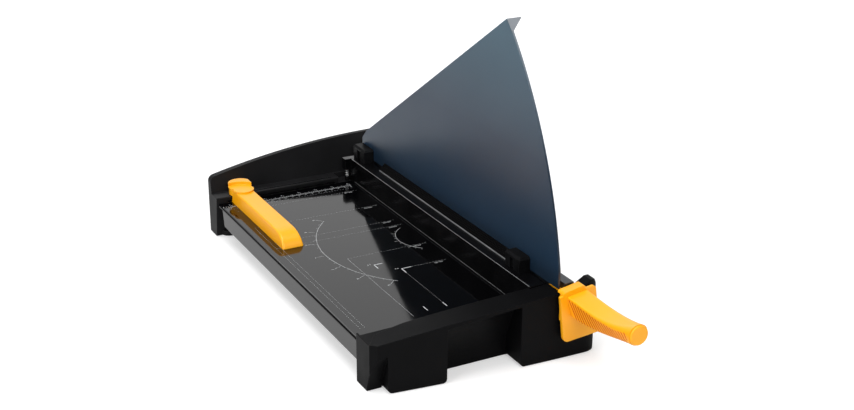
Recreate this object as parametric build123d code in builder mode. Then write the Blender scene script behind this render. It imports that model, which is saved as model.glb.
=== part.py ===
from build123d import *
from math import cos, radians, sin
import os

# Desktop lever guillotine for paper. Frame: +Z up, z = 0 is the bench. The origin lies under the point where
# the cutting edge (x = 0) meets the front paper stop (y = 0). -X is the paper side, +Y runs to the hinge.

# ---- Driving dimensions, millimetres ---------------------------------------------------------------------
cut_length = 458.0          # front paper stop to rear ledge
board_width = 225.0         # outer face of the board's apron to the fixed blade
board_height = 51.0         # bench to paper surface
sheet = 1.5                 # steel sheet of the board
bend_radius = 3.0           # outer radius of its folds
apron_drop = 27.4           # height of the left apron
hem_width = 12.0            # return fold under the apron
flange_drop = 20.0          # front and rear flanges of the board
fit = 0.2                   # gap between fixed pieces that only lie side by side
slide_gap = 0.3             # gap beside a sliding piece
pin_gap = 0.06              # radial gap of a shaft in its hole
wall = 3.0                  # wall of the plastic end caps
foot_height = 1.0           # how far the rubber feet hold the caps off the bench
foot_radius = 9.0
foot_recess = 1.5           # depth that a foot sits in its boss

blade_thick = 5.0           # fixed blade
blade_height = 18.0
beam_width = 20.0           # steel tube under the cutting edge
beam_height = 25.0
beam_wall = 2.0
rib_width = 30.0            # cross ribs under the board
rib_height = 12.0
rib_count = 3

cap_overlap = 2.0           # how far the caps stand outside the apron
cap_lip = 6.0               # how far the front cap laps over the apron
tower_right = 50.0          # right end of both caps
bow_peak_x = 80.0           # the bowed front edge stands furthest forward here
bow_peak_y = -55.8
bow_radius = 2250.0
bow_right_x = 30.0          # where the bow runs into the rounded right corner
corner_back = -36.0         # y where the rounded right corner ends
band_left = 9.6             # height of the front band over the board, left end
band_mid = 24.9
band_right = 33.1
land_left = 9.2             # height of the paper stop over the board, left end
land_right = 12.3
crest_left = -8.0           # y of the step from paper stop land to band
crest_right = -25.0
skirt_depth = 17.0          # recessed front wall, measured from the stop
pod_left = -214.0           # left pod
pod_left_end = -145.0
pod_right = -54.0           # right pod
pod_corner = 5.0
recess_left_step = 3.0      # the left recess is this much deeper than the middle one
flare_foot = 62.0           # height under the band's edge where a recess wall begins to flare
flare_bend = (7.0, 37.0)    # a point of its curve: reach out of the wall, height under the edge
flare_rim = (19.0, 12.0)    # and one near the edge

bar_right = -6.0            # clamp bar
bar_width = 21.8
bar_top = 33.7
bar_front = -25.0
bar_rear = cut_length + 10.0
bar_wall = 2.2
pad_thick = 1.5
pad_front = 22.0
pad_rear = cut_length - 12.0
bar_travel = 6.0
post_radius = 2.0
front_post_y = -13.0
ear_length = 9.5
ear_thick = 16.0
ear_rise = 18.0             # underside of the rear ear over the board
ear_bore = 13.0             # depth of its guide hole
spring_wire = 0.8
spring_pocket = 16.0        # depth of the front spring pocket under the board
coil_gap = 1.2              # post to the middle of the spring's wire
front_coil_turns = 6
rear_coil_turns = 7

guard_thick = 2.5
clip_width = 15.0
clip_top = 52.0             # over the board
front_clip_y = 12.0
front_clip_length = 31.0
rear_clip_y = cut_length - 28.0
rear_clip_length = 35.0
grip_front = 50.0
grip_gap = 64.0             # the ribbed strip ends this far before the ledge
grip_width = 9.0
grip_rise = 10.0
grip_ribs = 5

upper_thick = 2.5           # moving blade
blade_clearance = 0.05      # gap between the two blades
arm_thick = 12.0
arm_top = 42.0              # over the board
arm_bottom = 10.0
pivot_y = cut_length + 4.0
pivot_rise = 20.0           # pivot axis over the board
hub_radius = 17.0
bolt_radius = 5.0
bush_radius = 7.0
bracket_thick = 5.0
upper_tip_y = -10.0
edge_drop_front = 22.0      # cutting edge below the board at the front
edge_drop_rear = 6.0
upper_top = 24.0

slot_left = -4.0            # slot of the front cap for blade and arm
slot_right = 22.0
slot_floor = 6.0            # over the board

ledge_height = 8.5          # rear ledge over the board
ledge_depth = 21.0          # ledge front edge to the foot of the fence
cap_lean = 8.0              # how far the rear cap's face leans back down to the bench
fence_lean = 5.0
fence_thick = 7.0
fence_left = 31.0           # height of the fence over the board, left end
fence_mid = 54.9
fence_mid_x = -101.0
fence_right = 62.8
fence_corner = 9.0
ledge_right = -48.0
rail_slot_left = -212.5
rail_slot_right = -56.0
bolt_neck = 1.5             # radius of the gauge bolt
ledge_skin = 3.0

gauge_x = -195.5            # knob centre
knob_y = cut_length + 5.5
gauge_front = 272.0
gauge_width = 29.0
gauge_top_width = 25.0
gauge_top = 18.0
nose_run = 33.0             # length of the rounded nose
gauge_head = 15.2
knob_radius = 16.0
knob_height = 6.5
knob_base = 2.2             # thickness of the knob in front of its wing
knob_grip = 1.5             # how far the bolt reaches into the knob
lens_reach = 15.0           # the thumb rest in front of the axis
lens_half = 14.0
lens_depth = 14.0
wing_end = 14.5             # flat right end of the wing
scoop_radius = 22.0         # hollow in front of the wing
scoop_left = 6.0
scoop_front = 17.0

handle_left = -8.0
handle_right = 22.0
handle_back = -52.0
handle_front = -64.0
handle_top = 42.5
handle_left_rise = 37.5
handle_round = 3.5
handle_bottom = 2.0
shield_thick = 4.0
grip_length = 114.0
end_cap_radius = 11.4
end_cap_thick = 3.0
end_cap_x = 10.6
end_cap_rise = 34.0
tang_height = 13.0
tang_thick = 8.0
tang_length = 45.0

foot_boss = 7.0             # height of the boss round each foot
band_mid_x = -107.0
band_lip = 2.5              # thickness of the band where it overhangs a recess
band_slope_left = 7.0       # degrees, rise of the band over the left recess
band_slope_mid = 5.0        # degrees, over the recess between the pods
recess_rise = 20.9          # band height at the left end of that recess
crest_bend_x = -182.0
ramp_in = 2.5               # lead-in beside the arm slot
ramp_low = 35.3
ramp_run = 10.7
tower_top = 41.5
tower_flat = 5.5
tower_side = 24.5
fence_right_x = 30.0
ledge_round = 1.2
wedge_back = -40.0          # the wedge beside the arm slot only stands in front of this
chamfer_run = 6.0           # cut front left corner of the front cap
chamfer_y = -27.0
land_corner_y = -29.0       # the land's triangle at the left end
land_corner_run = 13.0
land_corner_step = 2.5
apron_gap = 17.0            # the apron ends this far before the ledge
apron_lean = 3.5
apron_corner = 9.0
bolt_head = 8.0             # width of the gauge bolt's head
cap_screw_radius = 2.0
cap_screw_length = 12.0
cap_screw_head = 3.6
cap_screw_drop = 13.0
cap_boss_radius = 4.5
cap_screw_xs = [-205.0, -125.0, -45.0]
foot_inset = 18.0           # left feet, from the apron
foot_back = 21.0            # rear feet, from the back of the rear cap
blade_screw_radius = 2.5
blade_screw_head = 4.6
blade_screw_sink = 0.2
blade_screw_count = 7
lower_blade_front = 2.0
bracket_screw_radius = 2.5
post_seat = 8.0
rear_post_radius = 1.2
ear_y = cut_length + 4.5
ear_reach = 5.0
bracket_leg = 5.0           # thickness of the bracket's cross leg
bracket_tongue = 30.0       # how far the bracket reaches into the beam
hinge_right = 33.0
cheek_round = 12.0
hinge_drop = 24.0           # floor of the hinge slot under the pivot axis
hinge_room = 2.5            # gap behind the hub

bracket_radius = 14.0
washer_thick = 1.5
disc_thick = 1.0
nut_thick = 8.0
nut_width = 16.0
bar_skin = 2.5
bar_flange = 5.5            # inward flanges that hold the rubber strip
bar_fillet = 0.8
toe_length = 6.0            # toe of the bar that the handle's fin holds down
toe_thick = 3.4
toe_rise = 24.0
fin_half = 2.0
fin_overlap = 3.0           # how far the fin reaches over the toe
fin_tip = 3.0               # height of its tip
fin_top = 34.0              # over the board
fin_root = 24.0
fin_slope = 9.0             # length of the rise behind its tip
touch = 0.1                 # gap where two bodies come to rest on each other
clip_chamfer = 2.5
clip_groove = (0.4, 0.68)   # groove in the clip's left side, as shares of its length
clip_groove_depth = 3.0
clip_screw_shares = (0.25, 0.75)
clip_screw_radius = 2.0
clip_screw_head = 3.6
clip_screw_length = 9.0
clip_screw_depth = 8.0      # of its hole in the clip
guard_bottom = 36.0
guard_front = -48.0
guard_nose = 58.0           # where the straight front edge ends and the bow begins
guard_bow = (-15.5, 171.0)
guard_lip_low = (67.0, 308.0)
guard_peak = (79.0, 320.0)
guard_rear_top = (cut_length - 3.4, 73.0)
guard_rear_low = 60.0
lip_width = 20.0
grip_foot = 1.2
rib_radius = 0.8
arm_front = -50.0
arm_slope_y = cut_length - 18.0
blade_bow = 17.5            # drop of the cutting edge at mid length
blade_set = 13.0            # blade screws over the board
upper_screw_length = 10.0
upper_screw_depth = 9.0     # of its hole in the arm
tang_low = 17.5             # underside of the tang over the board
handle_cap_back = -57.0     # back face of the handle block below the band
handle_cap_rise = 34.6
shield_back = -60.0
bore_gap = 0.2
# Corners of the hand shield, x and height over the board, clockwise from the top left, and their radii
shield_corners = [(-12.0, 33.2), (35.5, 39.0), (44.0, -21.5), (-5.0, -25.5)]
shield_radii = [1.5, 4.0, 3.0, 7.0]
grip_bolt_rise = 27.0
gauge_edge = 2.5
bolt_head_thick = 2.5
grip_bolt_seat = 8.0        # depth of the bolt head behind the end cap
grip_bolt_head = 3.8
grip_bolt_head_thick = 3.0
grip_bolt_bite = 16.0       # how far it reaches into the tang
grip_bolt_depth = 20.0      # of its hole in the tang
grip_end_half = 12.2        # half the width of the grip at its end
grip_end_round = 11.5
# Sections of the grip: share of its length, then x and height over the board of its left ridge, right ridge,
# lower right and lower left corner, then the radii of these corners
grip_sections = [
    (0.0, ((-3.8, 32.5), (27.0, 37.0), (22.0, 3.5), (5.0, 3.5)), (1.5, 4.0, 6.0, 6.0)),
    (0.23, ((-2.2, 30.8), (25.8, 36.2), (21.0, 6.0), (3.8, 6.0)), (1.8, 4.0, 5.0, 5.0)),
    (0.49, ((-1.6, 30.2), (25.6, 38.0), (20.0, 10.0), (4.6, 10.0)), (2.5, 5.0, 5.0, 5.0)),
    (0.75, ((-1.8, 34.0), (24.6, 43.0), (20.0, 16.5), (3.0, 17.0)), (5.0, 7.0, 6.0, 6.0)),
    (1.0, ((end_cap_x - grip_end_half, end_cap_rise + grip_end_half),
           (end_cap_x + grip_end_half, end_cap_rise + grip_end_half),
           (end_cap_x + grip_end_half, end_cap_rise - grip_end_half),
           (end_cap_x - grip_end_half, end_cap_rise - grip_end_half)), (grip_end_round,) * 4)]

# ---- Places that follow from them ------------------------------------------------------------------------
apron_x = -blade_thick - board_width
cap_left = apron_x - cap_overlap
cap_bottom = foot_height
ledge_y = cut_length
grip_rear = ledge_y - grip_gap
fence_y = ledge_y + ledge_depth
cap_rear = fence_y + fence_lean + fence_thick
tray_rear = ledge_y - fit
beam_right = -blade_thick
beam_left = beam_right - beam_width
bar_left = bar_right - bar_width
bar_mid = bar_right - bar_width / 2
arm_left = blade_clearance + upper_thick
arm_right = arm_left + arm_thick
arm_mid = (arm_left + arm_right) / 2
guard_left = -blade_thick
guard_right = guard_left + guard_thick
pivot_z = board_height + pivot_rise
bracket_front = ledge_y - bracket_leg / 2
bracket_leg_rear = bracket_front + bracket_leg
bracket_screw_ys = [bracket_front - bracket_tongue * share for share in (0.3, 0.7)]
lower_blade_length = bracket_front - fit - lower_blade_front
blade_screw_z = board_height - blade_height * 0.6
blade_screw_ys = [lower_blade_front + lower_blade_length * (count + 0.5) / blade_screw_count
                  for count in range(blade_screw_count)]
cap_screw_z = board_height - cap_screw_drop
hinge_floor = pivot_z - hinge_drop
hinge_rear = pivot_y + hub_radius + hinge_room
ear_left = bar_left - ear_length
ear_mid = bar_left - ear_length / 2
rear_boss_length = ledge_y + cap_lean + wall - tray_rear
fin_back = bar_front + fin_overlap
fin_bottom = toe_rise + toe_thick + touch
blade_length = pivot_y - hub_radius - upper_tip_y
upper_screw_ys = [upper_tip_y + blade_length * (count + 0.5) / blade_screw_count
                  for count in range(blade_screw_count)]
clip_screw_z = board_height + (clip_top + guard_bottom) / 2 + 1
tang_front = arm_front - tang_length
grip_end = handle_front - grip_length
gauge_seat = ledge_height + touch
deep = 60.0                 # reach of a cutting tool past the piece
feet = [(x, y) for y in (0, cap_rear - foot_back) for x in (0, apron_x + foot_inset)]


def up(rise):
    """Height over the bench of a point at this height over the board."""
    return board_height + rise


def across(y):
    """Plane that faces the front at this y. Extruding by a negative amount goes to the rear."""
    return Plane.XZ.offset(-y)


def bow_y(x):
    """Front edge of the front cap at this x."""
    return bow_peak_y + (x - bow_peak_x) ** 2 / (2 * bow_radius)


def along(x):
    """Plane that faces the right at this x. Its own axes are Y and Z."""
    return Plane.YZ.offset(x)


def screw(head_radius, head_height, shank_radius, length, drive=2.0):
    """Pan head screw along +Z from its seat at the origin, with a hexagon socket in the head."""
    with BuildPart() as made:
        Cylinder(shank_radius, length, align=(Align.CENTER, Align.CENTER, Align.MIN))
        Cylinder(head_radius, head_height, align=(Align.CENTER, Align.CENTER, Align.MAX))
        fillet(made.edges().sort_by(Axis.Z)[0], head_height * 0.3)
        with BuildSketch(Plane.XY.offset(-head_height)):
            RegularPolygon(drive, 6)
        extrude(amount=head_height * 0.6, mode=Mode.SUBTRACT)
    return made.part


def flat_screw(head_radius, shank_radius, length, drive=1.6):
    """Countersunk screw along +Z, its flush head at the origin."""
    with BuildPart() as made:
        Cylinder(shank_radius, length, align=(Align.CENTER, Align.CENTER, Align.MIN))
        Cone(head_radius, shank_radius, head_radius - shank_radius,
             align=(Align.CENTER, Align.CENTER, Align.MIN))
        with BuildSketch(Plane.XY):
            RegularPolygon(drive, 6)
        extrude(amount=head_radius - shank_radius, mode=Mode.SUBTRACT)
    return made.part


def coil(radius, wire, length, turns):
    """Compression spring along +Z from the origin."""
    with BuildPart() as made:
        with BuildLine():
            path = Helix(pitch=(length - wire) / turns, height=length - wire, radius=radius,
                         center=(0, 0, wire / 2))
        with BuildSketch(Plane(origin=path @ 0, z_dir=path % 0)):
            Circle(wire / 2)
        sweep()
    return made.part


# ---- Board: one folded steel sheet -----------------------------------------------------------------------
with BuildPart() as base_tray:
    with BuildSketch(across(fit)):
        with BuildLine():
            FilletPolyline(
                (beam_right - fit, up(-sheet / 2)),
                (apron_x + sheet / 2, up(-sheet / 2)),
                (apron_x + sheet / 2, up(sheet / 2 - apron_drop)),
                (apron_x + hem_width, up(sheet / 2 - apron_drop)),
                radius=bend_radius - sheet / 2)
        trace(line_width=sheet)
    extrude(amount=fit - tray_rear)
    # Front and rear flanges that the end caps are screwed to
    flange_left = apron_x + 2 * bend_radius
    flange_length = beam_left - 2 * fit - flange_left
    for flange_y in (fit, tray_rear - sheet):
        with BuildSketch(across(flange_y)):
            with Locations((flange_left + flange_length / 2, up(-sheet / 2 - flange_drop / 2))):
                Rectangle(flange_length, flange_drop - sheet)
        extrude(amount=-sheet)
        with BuildSketch(across(flange_y)):
            with Locations((flange_left + flange_length / 2, up(-sheet))):
                Rectangle(flange_length, sheet)
        extrude(amount=-sheet)
    with Locations(*[(x, y, cap_screw_z) for x in cap_screw_xs for y in (fit, tray_rear)]):
        Cylinder(cap_screw_radius + fit, 4 * sheet, rotation=(90, 0, 0), mode=Mode.SUBTRACT)
    # The apron is cut back in a curve before it reaches the rear cap
    with BuildSketch(along(apron_x - 1)):
        with BuildLine():
            cut_top = Line((ledge_y, up(-bend_radius)), (ledge_y - apron_gap, up(-bend_radius)))
            cut_low = ledge_y - apron_gap - apron_lean - apron_corner
            cut_side = Line(cut_top @ 1, (cut_low + apron_corner, up(-apron_drop - 1) + apron_corner))
            corner = RadiusArc(cut_side @ 1, (cut_low, up(-apron_drop - 1)), apron_corner)
            Polyline(corner @ 1, (ledge_y, up(-apron_drop - 1)), cut_top @ 0)
        make_face()
    extrude(amount=hem_width + 2, mode=Mode.SUBTRACT)
base_tray.part.label = "base_tray"

# ---- Steel structure under the board ---------------------------------------------------------------------
with BuildPart() as blade_beam:
    beam_length = bracket_front - fit - fit
    with BuildSketch(across(fit)):
        with Locations((beam_left + beam_width / 2, up(-sheet - beam_height / 2))):
            RectangleRounded(beam_width, beam_height, beam_wall)
            Rectangle(beam_width - 2 * beam_wall, beam_height - 2 * beam_wall, mode=Mode.SUBTRACT)
    extrude(amount=-beam_length)
    with Locations(*[Plane(origin=(beam_left + beam_width / 2, y, up(-sheet - beam_height)))
                     for y in bracket_screw_ys]):
        Cylinder(bracket_screw_radius + fit, beam_wall * 2, mode=Mode.SUBTRACT)
    with Locations(*[Plane(origin=(beam_right, y, blade_screw_z), z_dir=(-1, 0, 0)) for y in blade_screw_ys]):
        Cylinder(blade_screw_radius, beam_wall * 2, mode=Mode.SUBTRACT)
blade_beam.part.label = "blade_beam"

# Hat-shaped ribs, spot welded to the underside of the board
with BuildPart() as cross_ribs:
    rib_right = beam_left - fit
    rib_left = apron_x + bend_radius + fit
    rib_step = tray_rear / (rib_count + 1)
    for rib in range(rib_count):
        rib_y = rib_step * (rib + 1)
        with BuildSketch(along(rib_left)):
            with BuildLine():
                Polyline(
                    (rib_y - rib_width / 2, up(-1.5 * sheet)),
                    (rib_y - rib_width / 4, up(-1.5 * sheet)),
                    (rib_y - rib_width / 4, up(-rib_height - sheet / 2)),
                    (rib_y + rib_width / 4, up(-rib_height - sheet / 2)),
                    (rib_y + rib_width / 4, up(-1.5 * sheet)),
                    (rib_y + rib_width / 2, up(-1.5 * sheet)))
            trace(line_width=sheet)
        extrude(amount=rib_right - rib_left)
cross_ribs.part.label = "cross_ribs"

with BuildPart() as lower_blade:
    with BuildSketch(along(-blade_thick)):
        with Locations((lower_blade_front + lower_blade_length / 2, up(-blade_height / 2))):
            Rectangle(lower_blade_length, blade_height)
    extrude(amount=blade_thick)
    chamfer(lower_blade.edges().filter_by(Axis.Y).group_by(Axis.Z)[0].sort_by(Axis.X)[-1], 1)
    with Locations(*[Plane(origin=(0, y, blade_screw_z), z_dir=(1, 0, 0)) for y in blade_screw_ys]):
        CounterSinkHole(blade_screw_radius + pin_gap, blade_screw_head + pin_gap, counter_sink_angle=90)
lower_blade.part.label = "lower_blade"

with BuildPart() as lower_blade_screws:
    with Locations(*[Plane(origin=(-blade_screw_sink, y, blade_screw_z), z_dir=(-1, 0, 0))
                     for y in blade_screw_ys]):
        add(flat_screw(blade_screw_head - blade_screw_sink, blade_screw_radius, blade_thick + beam_wall + 2))
lower_blade_screws.part.label = "lower_blade_screws"

# ---- Front end cap: paper stop, bowed band, two pods, slot for the arm -----------------------------------
with BuildPart() as over_band:
    with BuildSketch(across(-2 * deep)):
        with BuildLine():
            rim = ThreePointArc((cap_left - 1, up(band_left)), (band_mid_x, up(band_mid)),
                                (slot_left, up(band_right)))
            Polyline(
                rim @ 1,
                (slot_right, up(band_right)),
                (slot_right + ramp_in, up(ramp_low)),
                (slot_right + ramp_in + ramp_run, up(tower_top)),
                (slot_right + ramp_in + ramp_run + tower_flat, up(tower_top)),
                (tower_right + 1, up(tower_side)),
                (tower_right + 1, up(2 * deep)),
                (cap_left - 1, up(2 * deep)),
                rim @ 0)
        make_face()
    extrude(amount=-4 * deep)

# Behind the crest line the cap steps down to the flat land of the paper stop
with BuildPart() as over_land:
    with BuildSketch(Plane.XY):
        Polygon((cap_left - 1, land_corner_y), (cap_left + land_corner_run, crest_left - land_corner_step),
                (crest_bend_x, crest_left), (slot_left, crest_right), (slot_left, deep),
                (cap_left - 1, deep), align=None)
    extrude(amount=4 * deep)
    with BuildSketch(across(-2 * deep)):
        Polygon((cap_left - 1, up(land_left)), (slot_left, up(land_right)), (slot_left, up(2 * deep)),
                (cap_left - 1, up(2 * deep)), align=None)
    extrude(amount=-4 * deep, mode=Mode.INTERSECT)


def flare_cut(start, stop, edge_rise, back, slope):
    """Room in front of a recessed wall that flares out to the band's edge, from start to stop along X."""
    with BuildPart() as made:
        with BuildSketch(along(start)):
            with BuildLine():
                foot = Line((back, up(-deep - edge_rise)), (back, up(edge_rise - flare_foot)))
                bends = [(back - reach, up(edge_rise - drop)) for reach, drop in (flare_bend, flare_rim)]
                curve = Spline(foot @ 1, *bends,
                               (-deep, up(edge_rise - band_lip)), tangents=((0, 1), (-1, 0)))
                Polyline(curve @ 1, (-2 * deep, up(edge_rise - band_lip)),
                         (-2 * deep, up(-deep - edge_rise)), foot @ 0)
            make_face()
        extrude(amount=(stop - start) / cos(radians(slope)),
                dir=(cos(radians(slope)), 0, sin(radians(slope))))
    return made.part


with BuildPart() as front_cap:
    with BuildSketch(Plane.XY.offset(cap_bottom)):
        with BuildLine():
            bow_left = cap_left + chamfer_run
            bow = ThreePointArc((bow_left, bow_y(bow_left)), (pod_left_end, bow_y(pod_left_end)),
                                (bow_right_x, bow_y(bow_right_x)))
            corner = Spline(bow @ 1, (tower_right, corner_back), tangents=(bow % 1, (0, 1)))
            Polyline(corner @ 1, (tower_right, 0), (apron_x - fit, 0), (apron_x - fit, cap_lip),
                     (cap_left, cap_lip), (cap_left, chamfer_y), bow @ 0)
        make_face()
    extrude(amount=up(tower_top) - cap_bottom + 1)
    add(over_band.part, mode=Mode.SUBTRACT)
    add(over_land.part, mode=Mode.SUBTRACT)
    add(flare_cut(cap_left - 1, pod_left, band_left, -skirt_depth - recess_left_step, band_slope_left),
        mode=Mode.SUBTRACT)
    add(flare_cut(pod_left_end, pod_right, recess_rise, -skirt_depth, band_slope_mid), mode=Mode.SUBTRACT)
    # Behind the wedge the cap is as low as the land
    with BuildSketch(along(slot_right)):
        Polygon((wedge_back, up(land_right)), (1, up(land_right)), (1, up(2 * deep)),
                (wedge_back, up(2 * deep)), align=None)
    extrude(amount=tower_right - slot_right + 1, mode=Mode.SUBTRACT)
    # Rounded bottom corners of the pods
    with BuildSketch(across(-2 * deep)):
        for corner_x, inward in ((pod_left, 1), (pod_left_end, -1), (pod_right, 1)):
            with Locations((corner_x + inward * pod_corner / 2, cap_bottom + pod_corner / 2)):
                Rectangle(pod_corner, pod_corner)
        for corner_x, inward in ((pod_left, 1), (pod_left_end, -1), (pod_right, 1)):
            with Locations((corner_x + inward * pod_corner, cap_bottom + pod_corner)):
                Circle(pod_corner, mode=Mode.SUBTRACT)
    extrude(amount=skirt_depth + 0.5 - 2 * deep, mode=Mode.SUBTRACT)
    # Hollow underneath
    with BuildSketch(Plane.XY):
        Polygon((cap_left + wall, -skirt_depth + wall), (bar_left - 2 * wall, -skirt_depth + wall),
                (bar_left - 2 * wall, -wall), (cap_left + wall, -wall), align=None)
    extrude(amount=up(land_left) - wall - 2, mode=Mode.SUBTRACT)
    with BuildSketch(Plane.XY):
        Polygon((pod_left + wall, -skirt_depth), (pod_left + wall, bow_y(pod_left) + wall),
                (pod_left_end - wall, bow_y(pod_left_end) + wall), (pod_left_end - wall, -skirt_depth),
                align=None)
    extrude(amount=up(slot_floor) - wall, mode=Mode.SUBTRACT)
    with BuildSketch(Plane.XY):
        Polygon((pod_right + wall, -wall), (pod_right + wall, bow_y(pod_right) + wall),
                (bow_right_x, bow_y(bow_right_x) + wall), (tower_right - 2 * wall, corner_back),
                (tower_right - wall, -wall), align=None)
    extrude(amount=up(-edge_drop_front) - 2 * wall, mode=Mode.SUBTRACT)
    with BuildSketch(Plane.XY):
        Polygon((pod_right + wall, bar_front - 2 * wall), (pod_right + wall, bow_y(pod_right) + wall),
                (bow_right_x, bow_y(bow_right_x) + wall), (tower_right - 3 * wall, bar_front - 2 * wall),
                align=None)
    extrude(amount=up(slot_floor) - wall, mode=Mode.SUBTRACT)
    # Slot for arm and blade, pocket for the front end of the clamp bar and its spring
    with BuildSketch(Plane.XY.offset(up(slot_floor))):
        Polygon((slot_left, -2 * deep), (slot_right, -2 * deep), (slot_right, 1), (slot_left, 1), align=None)
    extrude(amount=deep, mode=Mode.SUBTRACT)
    with BuildSketch(Plane.XY.offset(up(-spring_pocket))):
        Polygon((bar_left - slide_gap, bar_front - slide_gap), (bar_right + slide_gap, bar_front - slide_gap),
                (bar_right + slide_gap, 1), (bar_left - slide_gap, 1), align=None)
    extrude(amount=2 * deep, mode=Mode.SUBTRACT)
    with BuildSketch(Plane.XY.offset(up(slot_floor))):
        Polygon((bar_right, bar_front - slide_gap), (slot_right, bar_front - slide_gap), (slot_right, 1),
                (bar_right, 1), align=None)
    extrude(amount=2 * deep, mode=Mode.SUBTRACT)
    with BuildSketch(Plane.XY.offset(up(-edge_drop_front - 2))):
        Polygon((-0.5, upper_tip_y - 2), (arm_left + 1.2, upper_tip_y - 2), (arm_left + 1.2, 1), (-0.5, 1),
                align=None)
    extrude(amount=edge_drop_front + slot_floor + 3, mode=Mode.SUBTRACT)
    with Locations((bar_mid, front_post_y, up(-spring_pocket))):
        Cylinder(post_radius, post_seat, align=(Align.CENTER, Align.CENTER, Align.MAX), mode=Mode.SUBTRACT)
    # Bosses for the screws and the feet
    with Locations(*[Plane(origin=(x, 0, cap_screw_z), z_dir=(0, -1, 0)) for x in cap_screw_xs]):
        Cylinder(cap_boss_radius, skirt_depth - wall, align=(Align.CENTER, Align.CENTER, Align.MIN))
        Cylinder(cap_screw_radius, cap_screw_length, align=(Align.CENTER, Align.CENTER, Align.MIN),
                 mode=Mode.SUBTRACT)
    with Locations(*[(x, y, cap_bottom) for x, y in feet[:2]]):
        Cylinder(foot_radius + wall, foot_boss, align=(Align.CENTER, Align.CENTER, Align.MIN))
        Cylinder(foot_radius, foot_recess, align=(Align.CENTER, Align.CENTER, Align.MIN), mode=Mode.SUBTRACT)
front_cap.part.label = "front_cap"

# ---- Rear end cap: ledge with the gauge slot, curved fence, slot for the hinge ---------------------------
with BuildPart() as over_fence:
    with BuildSketch(across(ledge_y - deep)):
        with BuildLine():
            crown = ThreePointArc((cap_left - 1, up(fence_left)), (fence_mid_x, up(fence_mid)),
                                  (fence_right_x, up(fence_right)))
            Polyline(crown @ 1, (tower_right + 1, up(fence_right)), (tower_right + 1, up(3 * deep)),
                     (cap_left - 1, up(3 * deep)), crown @ 0)
        make_face()
    extrude(amount=-3 * deep)

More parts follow.
